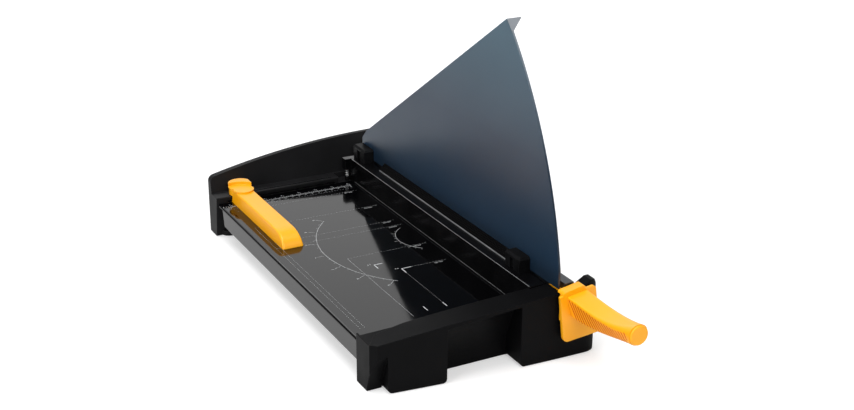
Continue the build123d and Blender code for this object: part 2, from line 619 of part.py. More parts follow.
with BuildPart() as rear_cap:
    with BuildSketch(along(cap_left)):
        Polygon(
            (ledge_y + cap_lean, cap_bottom),
            (ledge_y, up(ledge_height)),
            (fence_y, up(ledge_height)),
            (fence_y + fence_lean, up(fence_right) + 1),
            (cap_rear, up(fence_right) + 1),
            (cap_rear, cap_bottom),
            align=None)
    extrude(amount=tower_right - cap_left)
    add(over_fence.part, mode=Mode.SUBTRACT)
    fillet(rear_cap.edges().filter_by(Axis.Y).filter_by(lambda edge: edge.center().X < cap_left + 1)
           .sort_by(Axis.Z)[-1], fence_corner)
    fillet(rear_cap.edges().filter_by(Axis.X).group_by(Axis.Y)[0], ledge_round)
    # Cheek beside the hinge
    with BuildSketch(along(hinge_right)):
        Polygon(
            (ledge_y + cap_lean, cap_bottom),
            (ledge_y, up(ledge_height)),
            (ledge_y, up(fence_right) - cheek_round),
            (ledge_y + cheek_round, up(fence_right)),
            (cap_rear, up(fence_right)),
            (cap_rear, cap_bottom),
            align=None)
    extrude(amount=tower_right - hinge_right)
    # Hollow underneath
    with BuildSketch(Plane.XY):
        Polygon((cap_left + wall, ledge_y + cap_lean + wall), (ledge_right - wall, ledge_y + cap_lean + wall),
                (ledge_right - wall, cap_rear - wall), (cap_left + wall, cap_rear - wall), align=None)
    extrude(amount=up(ledge_height) - ledge_skin, mode=Mode.SUBTRACT)
    with BuildSketch(Plane.XY):
        Polygon((ledge_right, ledge_y + cap_lean + wall), (tower_right - wall, ledge_y + cap_lean + wall),
                (tower_right - wall, cap_rear - wall), (ledge_right, cap_rear - wall), align=None)
    extrude(amount=hinge_floor - wall, mode=Mode.SUBTRACT)
    # Slot of the side gauge, wider below the skin for the head of its bolt
    with BuildSketch(Plane.XY.offset(up(ledge_height))):
        with Locations(((rail_slot_left + rail_slot_right) / 2, knob_y)):
            SlotOverall(rail_slot_right - rail_slot_left, 2 * (bolt_neck + pin_gap))
    extrude(amount=-2 * ledge_skin, mode=Mode.SUBTRACT)
    with BuildSketch(Plane.XY.offset(up(ledge_height) - ledge_skin)):
        with Locations(((rail_slot_left + rail_slot_right) / 2, knob_y)):
            Rectangle(rail_slot_right - rail_slot_left + 6, bolt_head + 1)
    extrude(amount=-2 * ledge_skin, mode=Mode.SUBTRACT)
    # Pocket of the rear clamp spring, level with the board
    with BuildSketch(Plane.XY.offset(board_height)):
        Polygon((ledge_right, ledge_y - 2), (bar_left, ledge_y - 2), (bar_left, fence_y - 1),
                (ledge_right, fence_y - 1), align=None)
    extrude(amount=ledge_height + 1, mode=Mode.SUBTRACT)
    # Guide slot for the rear end of the clamp bar, with room for the clip over it
    with BuildSketch(Plane.XY.offset(board_height - fit)):
        Polygon((ear_left - slide_gap, ledge_y - 2), (-blade_thick, ledge_y - 2),
                (-blade_thick, bar_rear + slide_gap), (ear_left - slide_gap, bar_rear + slide_gap),
                align=None)
    extrude(amount=2 * deep, mode=Mode.SUBTRACT)
    # Hinge slot for bracket, arm, springs and nut
    with BuildSketch(Plane.XY.offset(hinge_floor)):
        Polygon((-blade_thick - fit, ledge_y - 2), (hinge_right, ledge_y - 2), (hinge_right, hinge_rear),
                (-blade_thick - fit, hinge_rear), align=None)
    extrude(amount=3 * deep, mode=Mode.SUBTRACT)
    with BuildSketch(Plane.XY.offset(up(-sheet - beam_height) - fit)):
        Polygon((beam_left - fit, ledge_y - 2), (fit, ledge_y - 2), (fit, bracket_leg_rear + fit),
                (beam_left - fit, bracket_leg_rear + fit), align=None)
    extrude(amount=beam_height + sheet + fit, mode=Mode.SUBTRACT)
    with Locations((ear_mid, ear_y, board_height)):
        Cylinder(rear_post_radius, post_seat, align=(Align.CENTER, Align.CENTER, Align.MAX),
                 mode=Mode.SUBTRACT)
    # Bosses for the screws and the feet
    with Locations(*[Plane(origin=(x, tray_rear, cap_screw_z), z_dir=(0, 1, 0)) for x in cap_screw_xs]):
        Cylinder(cap_boss_radius, rear_boss_length, align=(Align.CENTER, Align.CENTER, Align.MIN))
        Cylinder(cap_screw_radius, cap_screw_length, align=(Align.CENTER, Align.CENTER, Align.MIN),
                 mode=Mode.SUBTRACT)
    with Locations(*[(x, y, cap_bottom) for x, y in feet[2:]]):
        Cylinder(foot_radius + wall, foot_boss, align=(Align.CENTER, Align.CENTER, Align.MIN))
        Cylinder(foot_radius, foot_recess, align=(Align.CENTER, Align.CENTER, Align.MIN), mode=Mode.SUBTRACT)
rear_cap.part.label = "rear_cap"

with BuildPart() as cap_screws:
    with Locations(
            *[Plane(origin=(x, fit + sheet, cap_screw_z), z_dir=(0, -1, 0)) for x in cap_screw_xs],
            *[Plane(origin=(x, tray_rear - sheet, cap_screw_z), z_dir=(0, 1, 0)) for x in cap_screw_xs]):
        add(screw(cap_screw_head, cap_screw_head * 0.6, cap_screw_radius, cap_screw_length))
cap_screws.part.label = "cap_screws"

with BuildPart() as foot_pads:
    with Locations(*[(x, y, 0) for x, y in feet]):
        Cylinder(foot_radius, cap_bottom + foot_recess, align=(Align.CENTER, Align.CENTER, Align.MIN))
foot_pads.part.label = "foot_pads"

# ---- Hinge of the blade arm ------------------------------------------------------------------------------
with BuildPart() as pivot_bracket:
    with BuildSketch(along(-bracket_thick)):
        with Locations((pivot_y, pivot_z)):
            Circle(bracket_radius)
        Polygon((bracket_front, hinge_floor + fit), (pivot_y + bracket_radius, hinge_floor + fit),
                (pivot_y + bracket_radius, pivot_z), (bracket_front, pivot_z), align=None)
        Polygon((bracket_front, up(-sheet - beam_height)), (bracket_leg_rear, up(-sheet - beam_height)),
                (bracket_leg_rear, pivot_z), (bracket_front, pivot_z), align=None)
        Polygon((0, 0), (bracket_front, 0), (bracket_front, 3 * deep), (0, 3 * deep), align=None,
                mode=Mode.SUBTRACT)
    extrude(amount=bracket_thick)
    with BuildSketch(across(bracket_front)):
        Polygon((beam_left, up(-sheet - beam_height)), (0, up(-sheet - beam_height)), (0, up(-sheet)),
                (beam_left, up(-sheet)), align=None)
    extrude(amount=-bracket_leg)
    with BuildSketch(across(bracket_front)):
        with Locations((beam_left + beam_width / 2, up(-sheet - beam_height / 2))):
            Rectangle(beam_width - 2 * beam_wall - fit, beam_height - 2 * beam_wall - fit)
    extrude(amount=bracket_tongue)
    with Locations(Plane(origin=(-bracket_thick, pivot_y, pivot_z), z_dir=(-1, 0, 0))):
        CounterSinkHole(bolt_radius + pin_gap, bolt_radius + bracket_thick - 1, counter_sink_angle=90)
    with Locations(*[(beam_left + beam_width / 2, y, up(-sheet - beam_height)) for y in bracket_screw_ys]):
        Cylinder(bracket_screw_radius, beam_height, mode=Mode.SUBTRACT)
pivot_bracket.part.label = "pivot_bracket"

with BuildPart() as bracket_screws:
    with Locations(*[(beam_left + beam_width / 2, y, up(-sheet - beam_height)) for y in bracket_screw_ys]):
        add(screw(2 * bracket_screw_radius, bracket_screw_radius, bracket_screw_radius, beam_height / 2))
bracket_screws.part.label = "bracket_screws"

spring_start = arm_right + touch
washer_start = spring_start + 3 * disc_thick
nut_start = washer_start + washer_thick
bolt_length = bracket_thick + nut_start + nut_thick + 1
with BuildPart() as pivot_bolt:
    with Locations(Plane(origin=(-bracket_thick, pivot_y, pivot_z), z_dir=(1, 0, 0))):
        add(flat_screw(bolt_radius + bracket_thick - 1 - pin_gap, bolt_radius, bolt_length, 3.5))
pivot_bolt.part.label = "pivot_bolt"

# Two disc springs, mouth to mouth, that hold the blades together
with BuildPart() as pivot_spring:
    for start, tilt in ((spring_start, 1), (spring_start + 1.5 * disc_thick, -1)):
        inner = start + disc_thick * (1 - tilt) / 4
        outer = start + disc_thick * (1 + tilt) / 4
        with BuildSketch(Plane(origin=(0, pivot_y, pivot_z), x_dir=(1, 0, 0), z_dir=(0, -1, 0))):
            Polygon((inner, bolt_radius + fit), (outer, 2 * bolt_radius),
                    (outer + disc_thick, 2 * bolt_radius), (inner + disc_thick, bolt_radius + fit),
                    align=None)
        revolve(axis=Axis((0, pivot_y, pivot_z), (1, 0, 0)))
pivot_spring.part.label = "pivot_spring"

with BuildPart() as pivot_nut:
    with BuildSketch(Plane(origin=(washer_start, pivot_y, pivot_z), x_dir=(0, 1, 0), z_dir=(1, 0, 0))):
        Circle(2 * bolt_radius)
    extrude(amount=washer_thick)
    with BuildSketch(Plane(origin=(nut_start, pivot_y, pivot_z), x_dir=(0, 1, 0), z_dir=(1, 0, 0))):
        RegularPolygon(nut_width / 2, 6, major_radius=False)
    extrude(amount=nut_thick)
    with BuildSketch(Plane(origin=(washer_start, pivot_y, pivot_z), x_dir=(0, 1, 0), z_dir=(1, 0, 0))):
        Circle(bolt_radius)
    extrude(amount=washer_thick + nut_thick, mode=Mode.SUBTRACT)
pivot_nut.part.label = "pivot_nut"

with BuildPart() as arm_bumper:
    with BuildSketch(Plane.XY.offset(up(slot_floor))):
        with Locations((arm_mid, (arm_front + bar_front) / 2)):
            RectangleRounded(arm_thick - 4, arm_thick, 2)
    extrude(amount=arm_bottom - slot_floor - touch)
arm_bumper.part.label = "arm_bumper"

# ---- Clamp bar with rubber strip, grip, finger guard and springs -----------------------------------------
with BuildPart() as clamp_posts:
    with Locations((bar_mid, front_post_y, up(-spring_pocket) - post_seat)):
        Cylinder(post_radius, spring_pocket * 2 + post_seat, align=(Align.CENTER, Align.CENTER, Align.MIN))
    with Locations((ear_mid, ear_y, board_height - post_seat)):
        Cylinder(rear_post_radius, post_seat + ear_rise + ear_bore - bar_travel,
                 align=(Align.CENTER, Align.CENTER, Align.MIN))
clamp_posts.part.label = "clamp_posts"

with BuildPart() as clamp_bar:
    with BuildSketch(across(bar_front)):
        Polygon((bar_left, board_height), (bar_right, board_height), (bar_right, up(bar_top)),
                (bar_left, up(bar_top)), align=None)
    extrude(amount=bar_front - bar_rear)
    fillet(clamp_bar.edges().filter_by(Axis.Y).group_by(Axis.Z)[-1], bar_fillet)
    with BuildSketch(across(pad_front)):
        Polygon((bar_left, board_height), (bar_right, board_height), (bar_right, up(pad_thick)),
                (bar_left, up(pad_thick)), align=None)
        Polygon((bar_left + bar_flange, board_height), (bar_right - bar_flange, board_height),
                (bar_right - bar_flange, up(pad_thick) + bar_wall),
                (bar_left + bar_flange, up(pad_thick) + bar_wall), align=None)
        Polygon((bar_left + bar_wall, up(pad_thick) + bar_wall),
                (bar_right - bar_wall, up(pad_thick) + bar_wall),
                (bar_right - bar_wall, up(bar_top) - bar_skin), (bar_left + bar_wall, up(bar_top) - bar_skin),
                align=None)
    extrude(amount=pad_front - pad_rear, mode=Mode.SUBTRACT)
    with BuildSketch(Plane.XY.offset(up(ear_rise))):
        Polygon((ear_left, ear_y - ear_reach), (bar_left + 1, ear_y - ear_reach),
                (bar_left + 1, ear_y + ear_reach), (ear_left, ear_y + ear_reach), align=None)
    extrude(amount=ear_thick)
    with Locations((ear_mid, ear_y, up(ear_rise))):
        Cylinder(rear_post_radius + pin_gap, 2 * ear_bore, mode=Mode.SUBTRACT)
    with Locations((bar_mid, front_post_y, board_height)):
        Cylinder(post_radius + pin_gap, 2 * spring_pocket + 2, mode=Mode.SUBTRACT)
    with BuildSketch(Plane.XY.offset(up(toe_rise))):
        Polygon((bar_right - 1, bar_front), (fin_half, bar_front), (fin_half, bar_front + toe_length),
                (bar_right - 1, bar_front + toe_length), align=None)
    extrude(amount=toe_thick)
clamp_bar.part.label = "clamp_bar"

with BuildPart() as clamp_pad:
    with BuildSketch(Plane.XY.offset(board_height)):
        Polygon((bar_left + fit, pad_front + fit), (bar_right - fit, pad_front + fit),
                (bar_right - fit, pad_rear - fit), (bar_left + fit, pad_rear - fit), align=None)
    extrude(amount=pad_thick)
clamp_pad.part.label = "clamp_pad"

with BuildPart() as clamp_grip:
    with BuildSketch(across(grip_front)):
        grip_left = guard_left - grip_width
        Polygon((grip_left, up(bar_top)), (guard_left, up(bar_top)), (guard_left, up(bar_top) + grip_rise),
                (grip_left, up(bar_top) + grip_foot), align=None)
        rib_pitch = grip_width / grip_ribs
        for rib in range(grip_ribs):
            share = (rib + 0.5) / grip_ribs
            with Locations((grip_left + share * grip_width,
                            up(bar_top) + grip_foot + share * (grip_rise - grip_foot))):
                Circle(rib_radius)
    extrude(amount=grip_front - grip_rear)
clamp_grip.part.label = "clamp_grip"

clips = {}
for name, clip_y, clip_length in (("front_guard_clip", front_clip_y, front_clip_length),
                                  ("rear_guard_clip", rear_clip_y, rear_clip_length)):
    with BuildPart() as clip:
        with BuildSketch(across(clip_y)):
            Polygon((guard_left - clip_width, up(bar_top)), (guard_left, up(bar_top)),
                    (guard_left, up(clip_top)), (guard_left - clip_width, up(clip_top)), align=None)
        extrude(amount=-clip_length)
        chamfer(clip.edges().filter_by(Axis.Y).group_by(Axis.Z)[-1].sort_by(Axis.X)[0], clip_chamfer)
        chamfer(clip.edges().filter_by(Axis.X).group_by(Axis.Z)[-1].sort_by(Axis.Y)[0], clip_chamfer)
        with BuildSketch(Plane.XY.offset(up(bar_top))):
            groove_start, groove_stop = (clip_y + clip_length * share for share in clip_groove)
            Polygon((guard_left - clip_width - 1, groove_start),
                    (guard_left - clip_width + clip_groove_depth, groove_start),
                    (guard_left - clip_width + clip_groove_depth, groove_stop),
                    (guard_left - clip_width - 1, groove_stop), align=None)
        extrude(amount=clip_top - bar_top - 2 * clip_chamfer, mode=Mode.SUBTRACT)
        with Locations(*[Plane(origin=(guard_left, clip_y + clip_length * share, clip_screw_z),
                               z_dir=(-1, 0, 0)) for share in clip_screw_shares]):
            Cylinder(clip_screw_radius, 2 * clip_screw_depth, mode=Mode.SUBTRACT)
    clip.part.label = name
    clips[name] = clip.part

clip_spans = ((front_clip_y, front_clip_length), (rear_clip_y, rear_clip_length))
clip_screw_ys = [clip_y + clip_length * share for clip_y, clip_length in clip_spans
                 for share in clip_screw_shares]
with BuildPart() as guard_sheet:
    with BuildSketch(along(guard_left)):
        with BuildLine():
            nose = Line((guard_front, up(guard_bottom)), (guard_front, up(guard_nose)))
            front = ThreePointArc(nose @ 1, (guard_bow[0], up(guard_bow[1])),
                                  (guard_lip_low[0], up(guard_lip_low[1])))
            Polyline(front @ 1, (guard_peak[0], up(guard_peak[1])),
                     (guard_rear_top[0], up(guard_rear_top[1])), (bar_rear - 1, up(guard_rear_low)),
                     (bar_rear - 1, up(guard_bottom)), nose @ 0)
        make_face()
    extrude(amount=guard_thick)
    # Lip folded over the arm at the peak
    lip_plane = Plane(origin=(guard_left, guard_peak[0], up(guard_peak[1])), x_dir=(1, 0, 0),
                      z_dir=Vector(0, guard_peak[1] - guard_lip_low[1], guard_lip_low[0] - guard_peak[0]))
    with BuildSketch(lip_plane):
        lip_run = Vector(guard_peak[0] - guard_lip_low[0], guard_peak[1] - guard_lip_low[1]).length
        Polygon((0, 0), (lip_width, 0), (guard_thick, lip_run), (0, lip_run), align=None)
    extrude(amount=guard_thick)
    with Locations(*[Plane(origin=(guard_right, y, clip_screw_z), z_dir=(1, 0, 0)) for y in clip_screw_ys]):
        CounterSinkHole(clip_screw_radius + pin_gap, clip_screw_head + pin_gap, counter_sink_angle=90)
guard_sheet.part.label = "guard_sheet"

with BuildPart() as guard_screws:
    with Locations(*[Plane(origin=(guard_right, y, clip_screw_z), z_dir=(-1, 0, 0)) for y in clip_screw_ys]):
        add(flat_screw(clip_screw_head, clip_screw_radius, clip_screw_length))
guard_screws.part.label = "guard_screws"

with BuildPart() as front_clamp_spring:
    with Locations((bar_mid, front_post_y, up(-spring_pocket))):
        add(coil(post_radius + coil_gap, spring_wire, spring_pocket, front_coil_turns))
front_clamp_spring.part.label = "front_clamp_spring"

with BuildPart() as rear_clamp_spring:
    with Locations((ear_mid, ear_y, board_height)):
        add(coil(rear_post_radius + coil_gap, spring_wire, ear_rise, rear_coil_turns))
rear_clamp_spring.part.label = "rear_clamp_spring"

# ---- Blade arm -------------------------------------------------------------------------------------------
with BuildPart() as arm_bar:
    with BuildSketch(along(arm_left)):
        Polygon((arm_front, up(arm_bottom)), (pivot_y, up(arm_bottom)), (pivot_y, pivot_z + hub_radius),
                (arm_slope_y, up(arm_top)), (arm_front, up(arm_top)), align=None)
        with Locations((pivot_y, pivot_z)):
            Circle(hub_radius)
            Circle(bush_radius, mode=Mode.SUBTRACT)
    extrude(amount=arm_thick)
    with BuildSketch(across(arm_front)):
        with Locations((arm_mid, up(tang_low) + tang_height / 2)):
            RectangleRounded(tang_thick, tang_height, 2)
    extrude(amount=tang_length)
    with Locations(*[Plane(origin=(arm_left, y, up(blade_set)), z_dir=(-1, 0, 0)) for y in upper_screw_ys]):
        Cylinder(blade_screw_radius, 2 * upper_screw_depth, mode=Mode.SUBTRACT)
    with Locations(Plane(origin=(arm_mid, tang_front, up(grip_bolt_rise)), z_dir=(0, -1, 0))):
        Cylinder(blade_screw_radius, 2 * grip_bolt_depth, mode=Mode.SUBTRACT)
arm_bar.part.label = "arm_bar"

with BuildPart() as upper_blade:
    with BuildSketch(along(blade_clearance)):
        with BuildLine():
            edge = ThreePointArc((upper_tip_y, up(-edge_drop_front)),
                                 (upper_tip_y + blade_length / 2, up(-blade_bow)),
                                 (upper_tip_y + blade_length, up(-edge_drop_rear)))
            Polyline(edge @ 1, (upper_tip_y + blade_length, up(upper_top)), (upper_tip_y, up(upper_top)),
                     edge @ 0)
        make_face()
    extrude(amount=upper_thick)
    with Locations(*[Plane(origin=(blade_clearance, y, up(blade_set)), z_dir=(-1, 0, 0))
                     for y in upper_screw_ys]):
        CounterSinkHole(blade_screw_radius + pin_gap, blade_screw_head + pin_gap, counter_sink_angle=90)
upper_blade.part.label = "upper_blade"

with BuildPart() as upper_blade_screws:
    with Locations(*[Plane(origin=(blade_clearance + blade_screw_sink, y, up(blade_set)), z_dir=(1, 0, 0))
                     for y in upper_screw_ys]):
        add(flat_screw(blade_screw_head - blade_screw_sink, blade_screw_radius, upper_screw_length))
upper_blade_screws.part.label = "upper_blade_screws"

with BuildPart() as pivot_bush:
    with BuildSketch(Plane(origin=(blade_clearance, pivot_y, pivot_z), x_dir=(0, 1, 0), z_dir=(1, 0, 0))):
        Circle(hub_radius - 5)
        Circle(bolt_radius + pin_gap, mode=Mode.SUBTRACT)
    extrude(amount=upper_thick)
    with BuildSketch(Plane(origin=(blade_clearance, pivot_y, pivot_z), x_dir=(0, 1, 0), z_dir=(1, 0, 0))):
        Circle(bush_radius)
        Circle(bolt_radius + pin_gap, mode=Mode.SUBTRACT)
    extrude(amount=arm_right - blade_clearance)
pivot_bush.part.label = "pivot_bush"

# Handle block with hand shield and fin, pushed over the tang of the arm
def block_outline():
    """Front view of the handle block: its top slopes a little to the left."""
    with BuildSketch() as made:
        Polygon((handle_left, up(handle_bottom)), (handle_left, up(handle_left_rise)),
                (handle_right, up(handle_top)), (handle_right, up(handle_bottom)), align=None)
        fillet(made.vertices().group_by(Axis.Y)[-1], handle_round)
        fillet(made.vertices().filter_by(lambda corner: abs(corner.Y - up(handle_left_rise)) < 0.1),
               handle_round)
    return made.sketch


with BuildPart() as handle:
    with BuildSketch(across(handle_cap_back)):
        add(block_outline())
    extrude(amount=handle_cap_back - handle_front)
    with BuildSketch(across(handle_back)):
        add(block_outline())
        with Locations((0, up(handle_cap_rise) - deep)):
            Rectangle(4 * handle_right, 2 * deep, mode=Mode.SUBTRACT)
    extrude(amount=handle_back - handle_cap_back)
    with BuildSketch(across(shield_back)) as shield:
        Polygon(*[(x, up(rise)) for x, rise in shield_corners], align=None)
        for (x, rise), radius in zip(shield_corners, shield_radii):
            fillet(shield.vertices().sort_by_distance((x, up(rise), 0))[0], radius)
    extrude(amount=shield_thick)
    with BuildSketch(along(-fin_half)):
        Polygon((fin_back, up(fin_bottom)), (fin_back, up(fin_bottom) + fin_tip),
                (fin_back - fin_slope, up(fin_top)), (handle_cap_back - 1, up(fin_top)),
                (handle_cap_back - 1, up(fin_root)), (fin_back - fin_slope, up(fin_bottom)), align=None)
    extrude(amount=2 * fin_half)
    with BuildSketch(across(0)):
        with Locations((arm_mid, up(tang_low) + tang_height / 2)):
            RectangleRounded(tang_thick + 2 * bore_gap, tang_height + 2 * bore_gap, 2)
    extrude(amount=2 * deep, mode=Mode.SUBTRACT)
handle.part.label = "handle"

with BuildPart() as handle_grip:
    for share, corners, radii in grip_sections:
        with BuildSketch(across(handle_front - share * grip_length)) as section:
            Polygon(*[(x, up(rise)) for x, rise in corners], align=None)
            for (x, rise), radius in zip(corners, radii):
                fillet(section.vertices().sort_by_distance((x, up(rise), 0))[0], radius)
    loft()
    with BuildSketch(across(handle_front)):
        with Locations((arm_mid, up(tang_low) + tang_height / 2)):
            RectangleRounded(tang_thick + 2 * bore_gap, tang_height + 2 * bore_gap, 2)
    extrude(amount=handle_front - tang_front + bore_gap, mode=Mode.SUBTRACT)
    with BuildSketch(across(handle_front)):
        with Locations((arm_mid, up(grip_bolt_rise))):
            Circle(blade_screw_radius + bore_gap)
    extrude(amount=grip_length, mode=Mode.SUBTRACT)
    with BuildSketch(across(grip_end + grip_bolt_seat)):
        with Locations((arm_mid, up(grip_bolt_rise))):
            Circle(grip_bolt_head + bore_gap)
    extrude(amount=grip_bolt_seat, mode=Mode.SUBTRACT)
handle_grip.part.label = "handle_grip"

with BuildPart() as handle_end_cap:
    with BuildSketch(across(grip_end)):
        with Locations((end_cap_x, up(end_cap_rise))):
            Circle(end_cap_radius)
    extrude(amount=end_cap_thick)
    fillet(handle_end_cap.edges().group_by(Axis.Y)[0], end_cap_thick / 2)
handle_end_cap.part.label = "handle_end_cap"

with BuildPart() as grip_bolt:
    with Locations(Plane(origin=(arm_mid, grip_end + grip_bolt_seat, up(grip_bolt_rise)), z_dir=(0, 1, 0))):
        add(screw(grip_bolt_head, grip_bolt_head_thick, blade_screw_radius,
                  tang_front - grip_end - grip_bolt_seat + grip_bolt_bite))
grip_bolt.part.label = "grip_bolt"

# ---- Side gauge on the rear ledge ------------------------------------------------------------------------
with BuildPart() as gauge_bar:
    with BuildSketch(across(gauge_front)):
        Polygon((gauge_x - gauge_width / 2, up(touch)), (gauge_x + gauge_width / 2, up(touch)),
                (gauge_x + gauge_top_width / 2, up(gauge_top)),
                (gauge_x - gauge_top_width / 2, up(gauge_top)), align=None)
    extrude(amount=gauge_front - ledge_y + slide_gap)
    with BuildSketch(along(gauge_x - gauge_width)):
        with BuildLine():
            nose = Spline((gauge_front, up(touch)), (gauge_front + nose_run, up(gauge_top)),
                          tangents=((0.3, 1), (1, 0)))
            Polyline(nose @ 1, (gauge_front + nose_run, up(gauge_top) + 1),
                     (gauge_front - 1, up(gauge_top) + 1), (gauge_front - 1, up(touch) - 1),
                     (gauge_front, up(touch) - 1), nose @ 0)
        make_face()
    extrude(amount=2 * gauge_width, mode=Mode.SUBTRACT)
    fillet(gauge_bar.edges().filter_by(Axis.Y).group_by(Axis.Z)[-1]
           + gauge_bar.edges().filter_by(lambda edge: edge.geom_type not in (GeomType.LINE, GeomType.CIRCLE)),
           gauge_edge)
    with BuildSketch(Plane.XY.offset(up(gauge_seat))):
        with Locations((gauge_x, knob_y)):
            Circle(gauge_head)
        Polygon((gauge_x - gauge_top_width / 2, ledge_y - 2), (gauge_x + gauge_top_width / 2, ledge_y - 2),
                (gauge_x + gauge_top_width / 2, knob_y), (gauge_x - gauge_top_width / 2, knob_y), align=None)
    extrude(amount=gauge_top - gauge_seat)
    with Locations((gauge_x, knob_y, up(gauge_top))):
        Cylinder(bolt_neck + pin_gap, 4 * gauge_top, mode=Mode.SUBTRACT)
gauge_bar.part.label = "gauge_bar"

with BuildPart() as gauge_bolt:
    with BuildSketch(Plane.XY.offset(up(ledge_height - ledge_skin) - touch)):
        with Locations((gauge_x, knob_y)):
            Rectangle(bolt_head, bolt_head)
    extrude(amount=-bolt_head_thick)
    with BuildSketch(Plane.XY.offset(up(ledge_height - ledge_skin) - touch - bolt_head_thick)):
        with Locations((gauge_x, knob_y)):
            Circle(bolt_neck)
    extrude(amount=bolt_head_thick + 2 * touch + ledge_skin - ledge_height + gauge_top + knob_grip)
gauge_bolt.part.label = "gauge_bolt"

# Lock knob: a round base with a thumb rest in front and a bowed wing behind
with BuildPart() as gauge_knob:
    with BuildSketch(Plane.XY.offset(up(gauge_top) + touch)):
        with Locations((gauge_x, knob_y)):
            Circle(knob_radius)
        with Locations((gauge_x, knob_y - lens_reach)):
            Ellipse(lens_half, lens_depth)
    extrude(amount=knob_base)
    with BuildSketch(Plane.XY.offset(up(gauge_top) + touch)):
        with Locations((gauge_x, knob_y)):
            Circle(knob_radius)
        with Locations((gauge_x - scoop_left, knob_y - scoop_front)):
            Circle(scoop_radius, mode=Mode.SUBTRACT)
        with Locations((gauge_x + wing_end + knob_radius, knob_y)):
            Rectangle(2 * knob_radius, 3 * knob_radius, mode=Mode.SUBTRACT)
    extrude(amount=knob_height)
    with Locations((gauge_x, knob_y, up(gauge_top) + touch)):
        Cylinder(bolt_neck + pin_gap, 2 * knob_grip, mode=Mode.SUBTRACT)
gauge_knob.part.label = "gauge_knob"

pieces = [
    base_tray.part, blade_beam.part, cross_ribs.part, lower_blade.part, lower_blade_screws.part,
    front_cap.part, rear_cap.part, cap_screws.part, foot_pads.part, pivot_bracket.part,
    bracket_screws.part, pivot_bolt.part,
    pivot_spring.part, pivot_nut.part, arm_bumper.part, clamp_posts.part, clamp_bar.part, clamp_pad.part,
    clamp_grip.part, clips["front_guard_clip"], clips["rear_guard_clip"], guard_sheet.part, guard_screws.part,
    front_clamp_spring.part, rear_clamp_spring.part, arm_bar.part, upper_blade.part, upper_blade_screws.part,
    pivot_bush.part, handle.part, handle_grip.part, handle_end_cap.part, grip_bolt.part,
    gauge_bar.part, gauge_bolt.part, gauge_knob.part]
os.makedirs("parts", exist_ok=True)
for piece in pieces:
    export_step(piece, "parts/" + piece.label + ".step")
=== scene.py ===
import bmesh
import bpy
from math import cos, pi, radians, sin
from mathutils import Matrix, Vector
from mathutils.bvhtree import BVHTree


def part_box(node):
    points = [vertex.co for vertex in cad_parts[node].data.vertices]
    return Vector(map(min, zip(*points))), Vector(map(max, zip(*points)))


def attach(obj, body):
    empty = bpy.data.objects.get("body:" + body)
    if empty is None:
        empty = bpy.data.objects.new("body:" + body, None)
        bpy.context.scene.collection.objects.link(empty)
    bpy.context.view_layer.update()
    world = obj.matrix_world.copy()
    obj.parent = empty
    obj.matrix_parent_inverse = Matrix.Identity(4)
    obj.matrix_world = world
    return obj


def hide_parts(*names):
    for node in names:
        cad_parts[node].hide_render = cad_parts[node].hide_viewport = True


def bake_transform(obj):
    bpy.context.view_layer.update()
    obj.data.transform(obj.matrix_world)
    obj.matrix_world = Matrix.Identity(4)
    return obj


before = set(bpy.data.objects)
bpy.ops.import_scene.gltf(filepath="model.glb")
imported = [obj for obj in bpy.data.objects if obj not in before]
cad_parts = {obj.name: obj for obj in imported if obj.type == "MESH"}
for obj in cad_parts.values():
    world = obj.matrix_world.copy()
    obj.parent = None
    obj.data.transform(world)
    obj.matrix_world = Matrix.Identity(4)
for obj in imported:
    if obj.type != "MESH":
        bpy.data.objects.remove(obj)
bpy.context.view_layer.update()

# ---- Studio ----------------------------------------------------------------------------------------------
# The cutter stands on a pale table in front of a white cyclorama. Two large soft boxes hang over it and to
# its left. The camera looks down on the paper side from the front left.
MM = 0.001


def linear(code):
    """Linear RGBA of an sRGB hex colour."""
    parts = [int(code[i:i + 2], 16) / 255 for i in (1, 3, 5)]
    return tuple(p / 12.92 if p <= 0.04045 else ((p + 0.055) / 1.055) ** 2.4 for p in parts) + (1.0,)


def add(tree, kind, inputs=None, **settings):
    """Adds a node. An input gets a link where its value is another node's socket."""
    made = tree.nodes.new("ShaderNode" + kind)
    for name, value in settings.items():
        setattr(made, name, value)
    for name, value in (inputs or {}).items():
        if isinstance(value, bpy.types.NodeSocket):
            tree.links.new(value, made.inputs[name])
        else:
            made.inputs[name].default_value = value
    return made


def new_material(name):
    """An empty node material and its tree."""
    made = bpy.data.materials.new(name)
    made.use_nodes = True
    made.node_tree.nodes.clear()
    return made, made.node_tree


def direct_view(tree):
    """A mask that is 1 for what the camera sees, straight or through the guard."""
    rays = add(tree, "LightPath").outputs
    return add(tree, "Math", {0: rays["Is Camera Ray"], 1: rays["Is Transmission Ray"]},
               operation="MAXIMUM").outputs[0]


world = bpy.data.worlds.new("white_studio")
bpy.context.scene.world = world
world.use_nodes = True
tree = world.node_tree
tree.nodes.clear()
# Mirrors see the cyclorama behind the cutter on the right, low down. The rest of the room is dim to them.
cyclorama_side = (0.8, 0.6, 0.0)
ambient_level = 0.42
way = add(tree, "TexCoord").outputs["Generated"]
behind = add(tree, "VectorMath", {0: way, 1: cyclorama_side}, operation="DOT_PRODUCT")
behind = add(tree, "MapRange", {"Value": behind.outputs["Value"], "From Min": 0.15, "From Max": 0.65})
rise = add(tree, "SeparateXYZ", {0: way}).outputs[2]
low = add(tree, "MapRange", {"Value": rise, "From Min": 0.8, "From Max": 0.6})
wall = add(tree, "Math", {0: behind.outputs[0], 1: low.outputs[0]}, operation="MULTIPLY")
mirrored = add(tree, "MapRange", {"Value": wall.outputs[0], "To Min": 0.06, "To Max": 1.0})
level = add(tree, "MapRange", {"Value": add(tree, "LightPath").outputs["Is Glossy Ray"],
                               "To Min": ambient_level, "To Max": mirrored.outputs[0]})
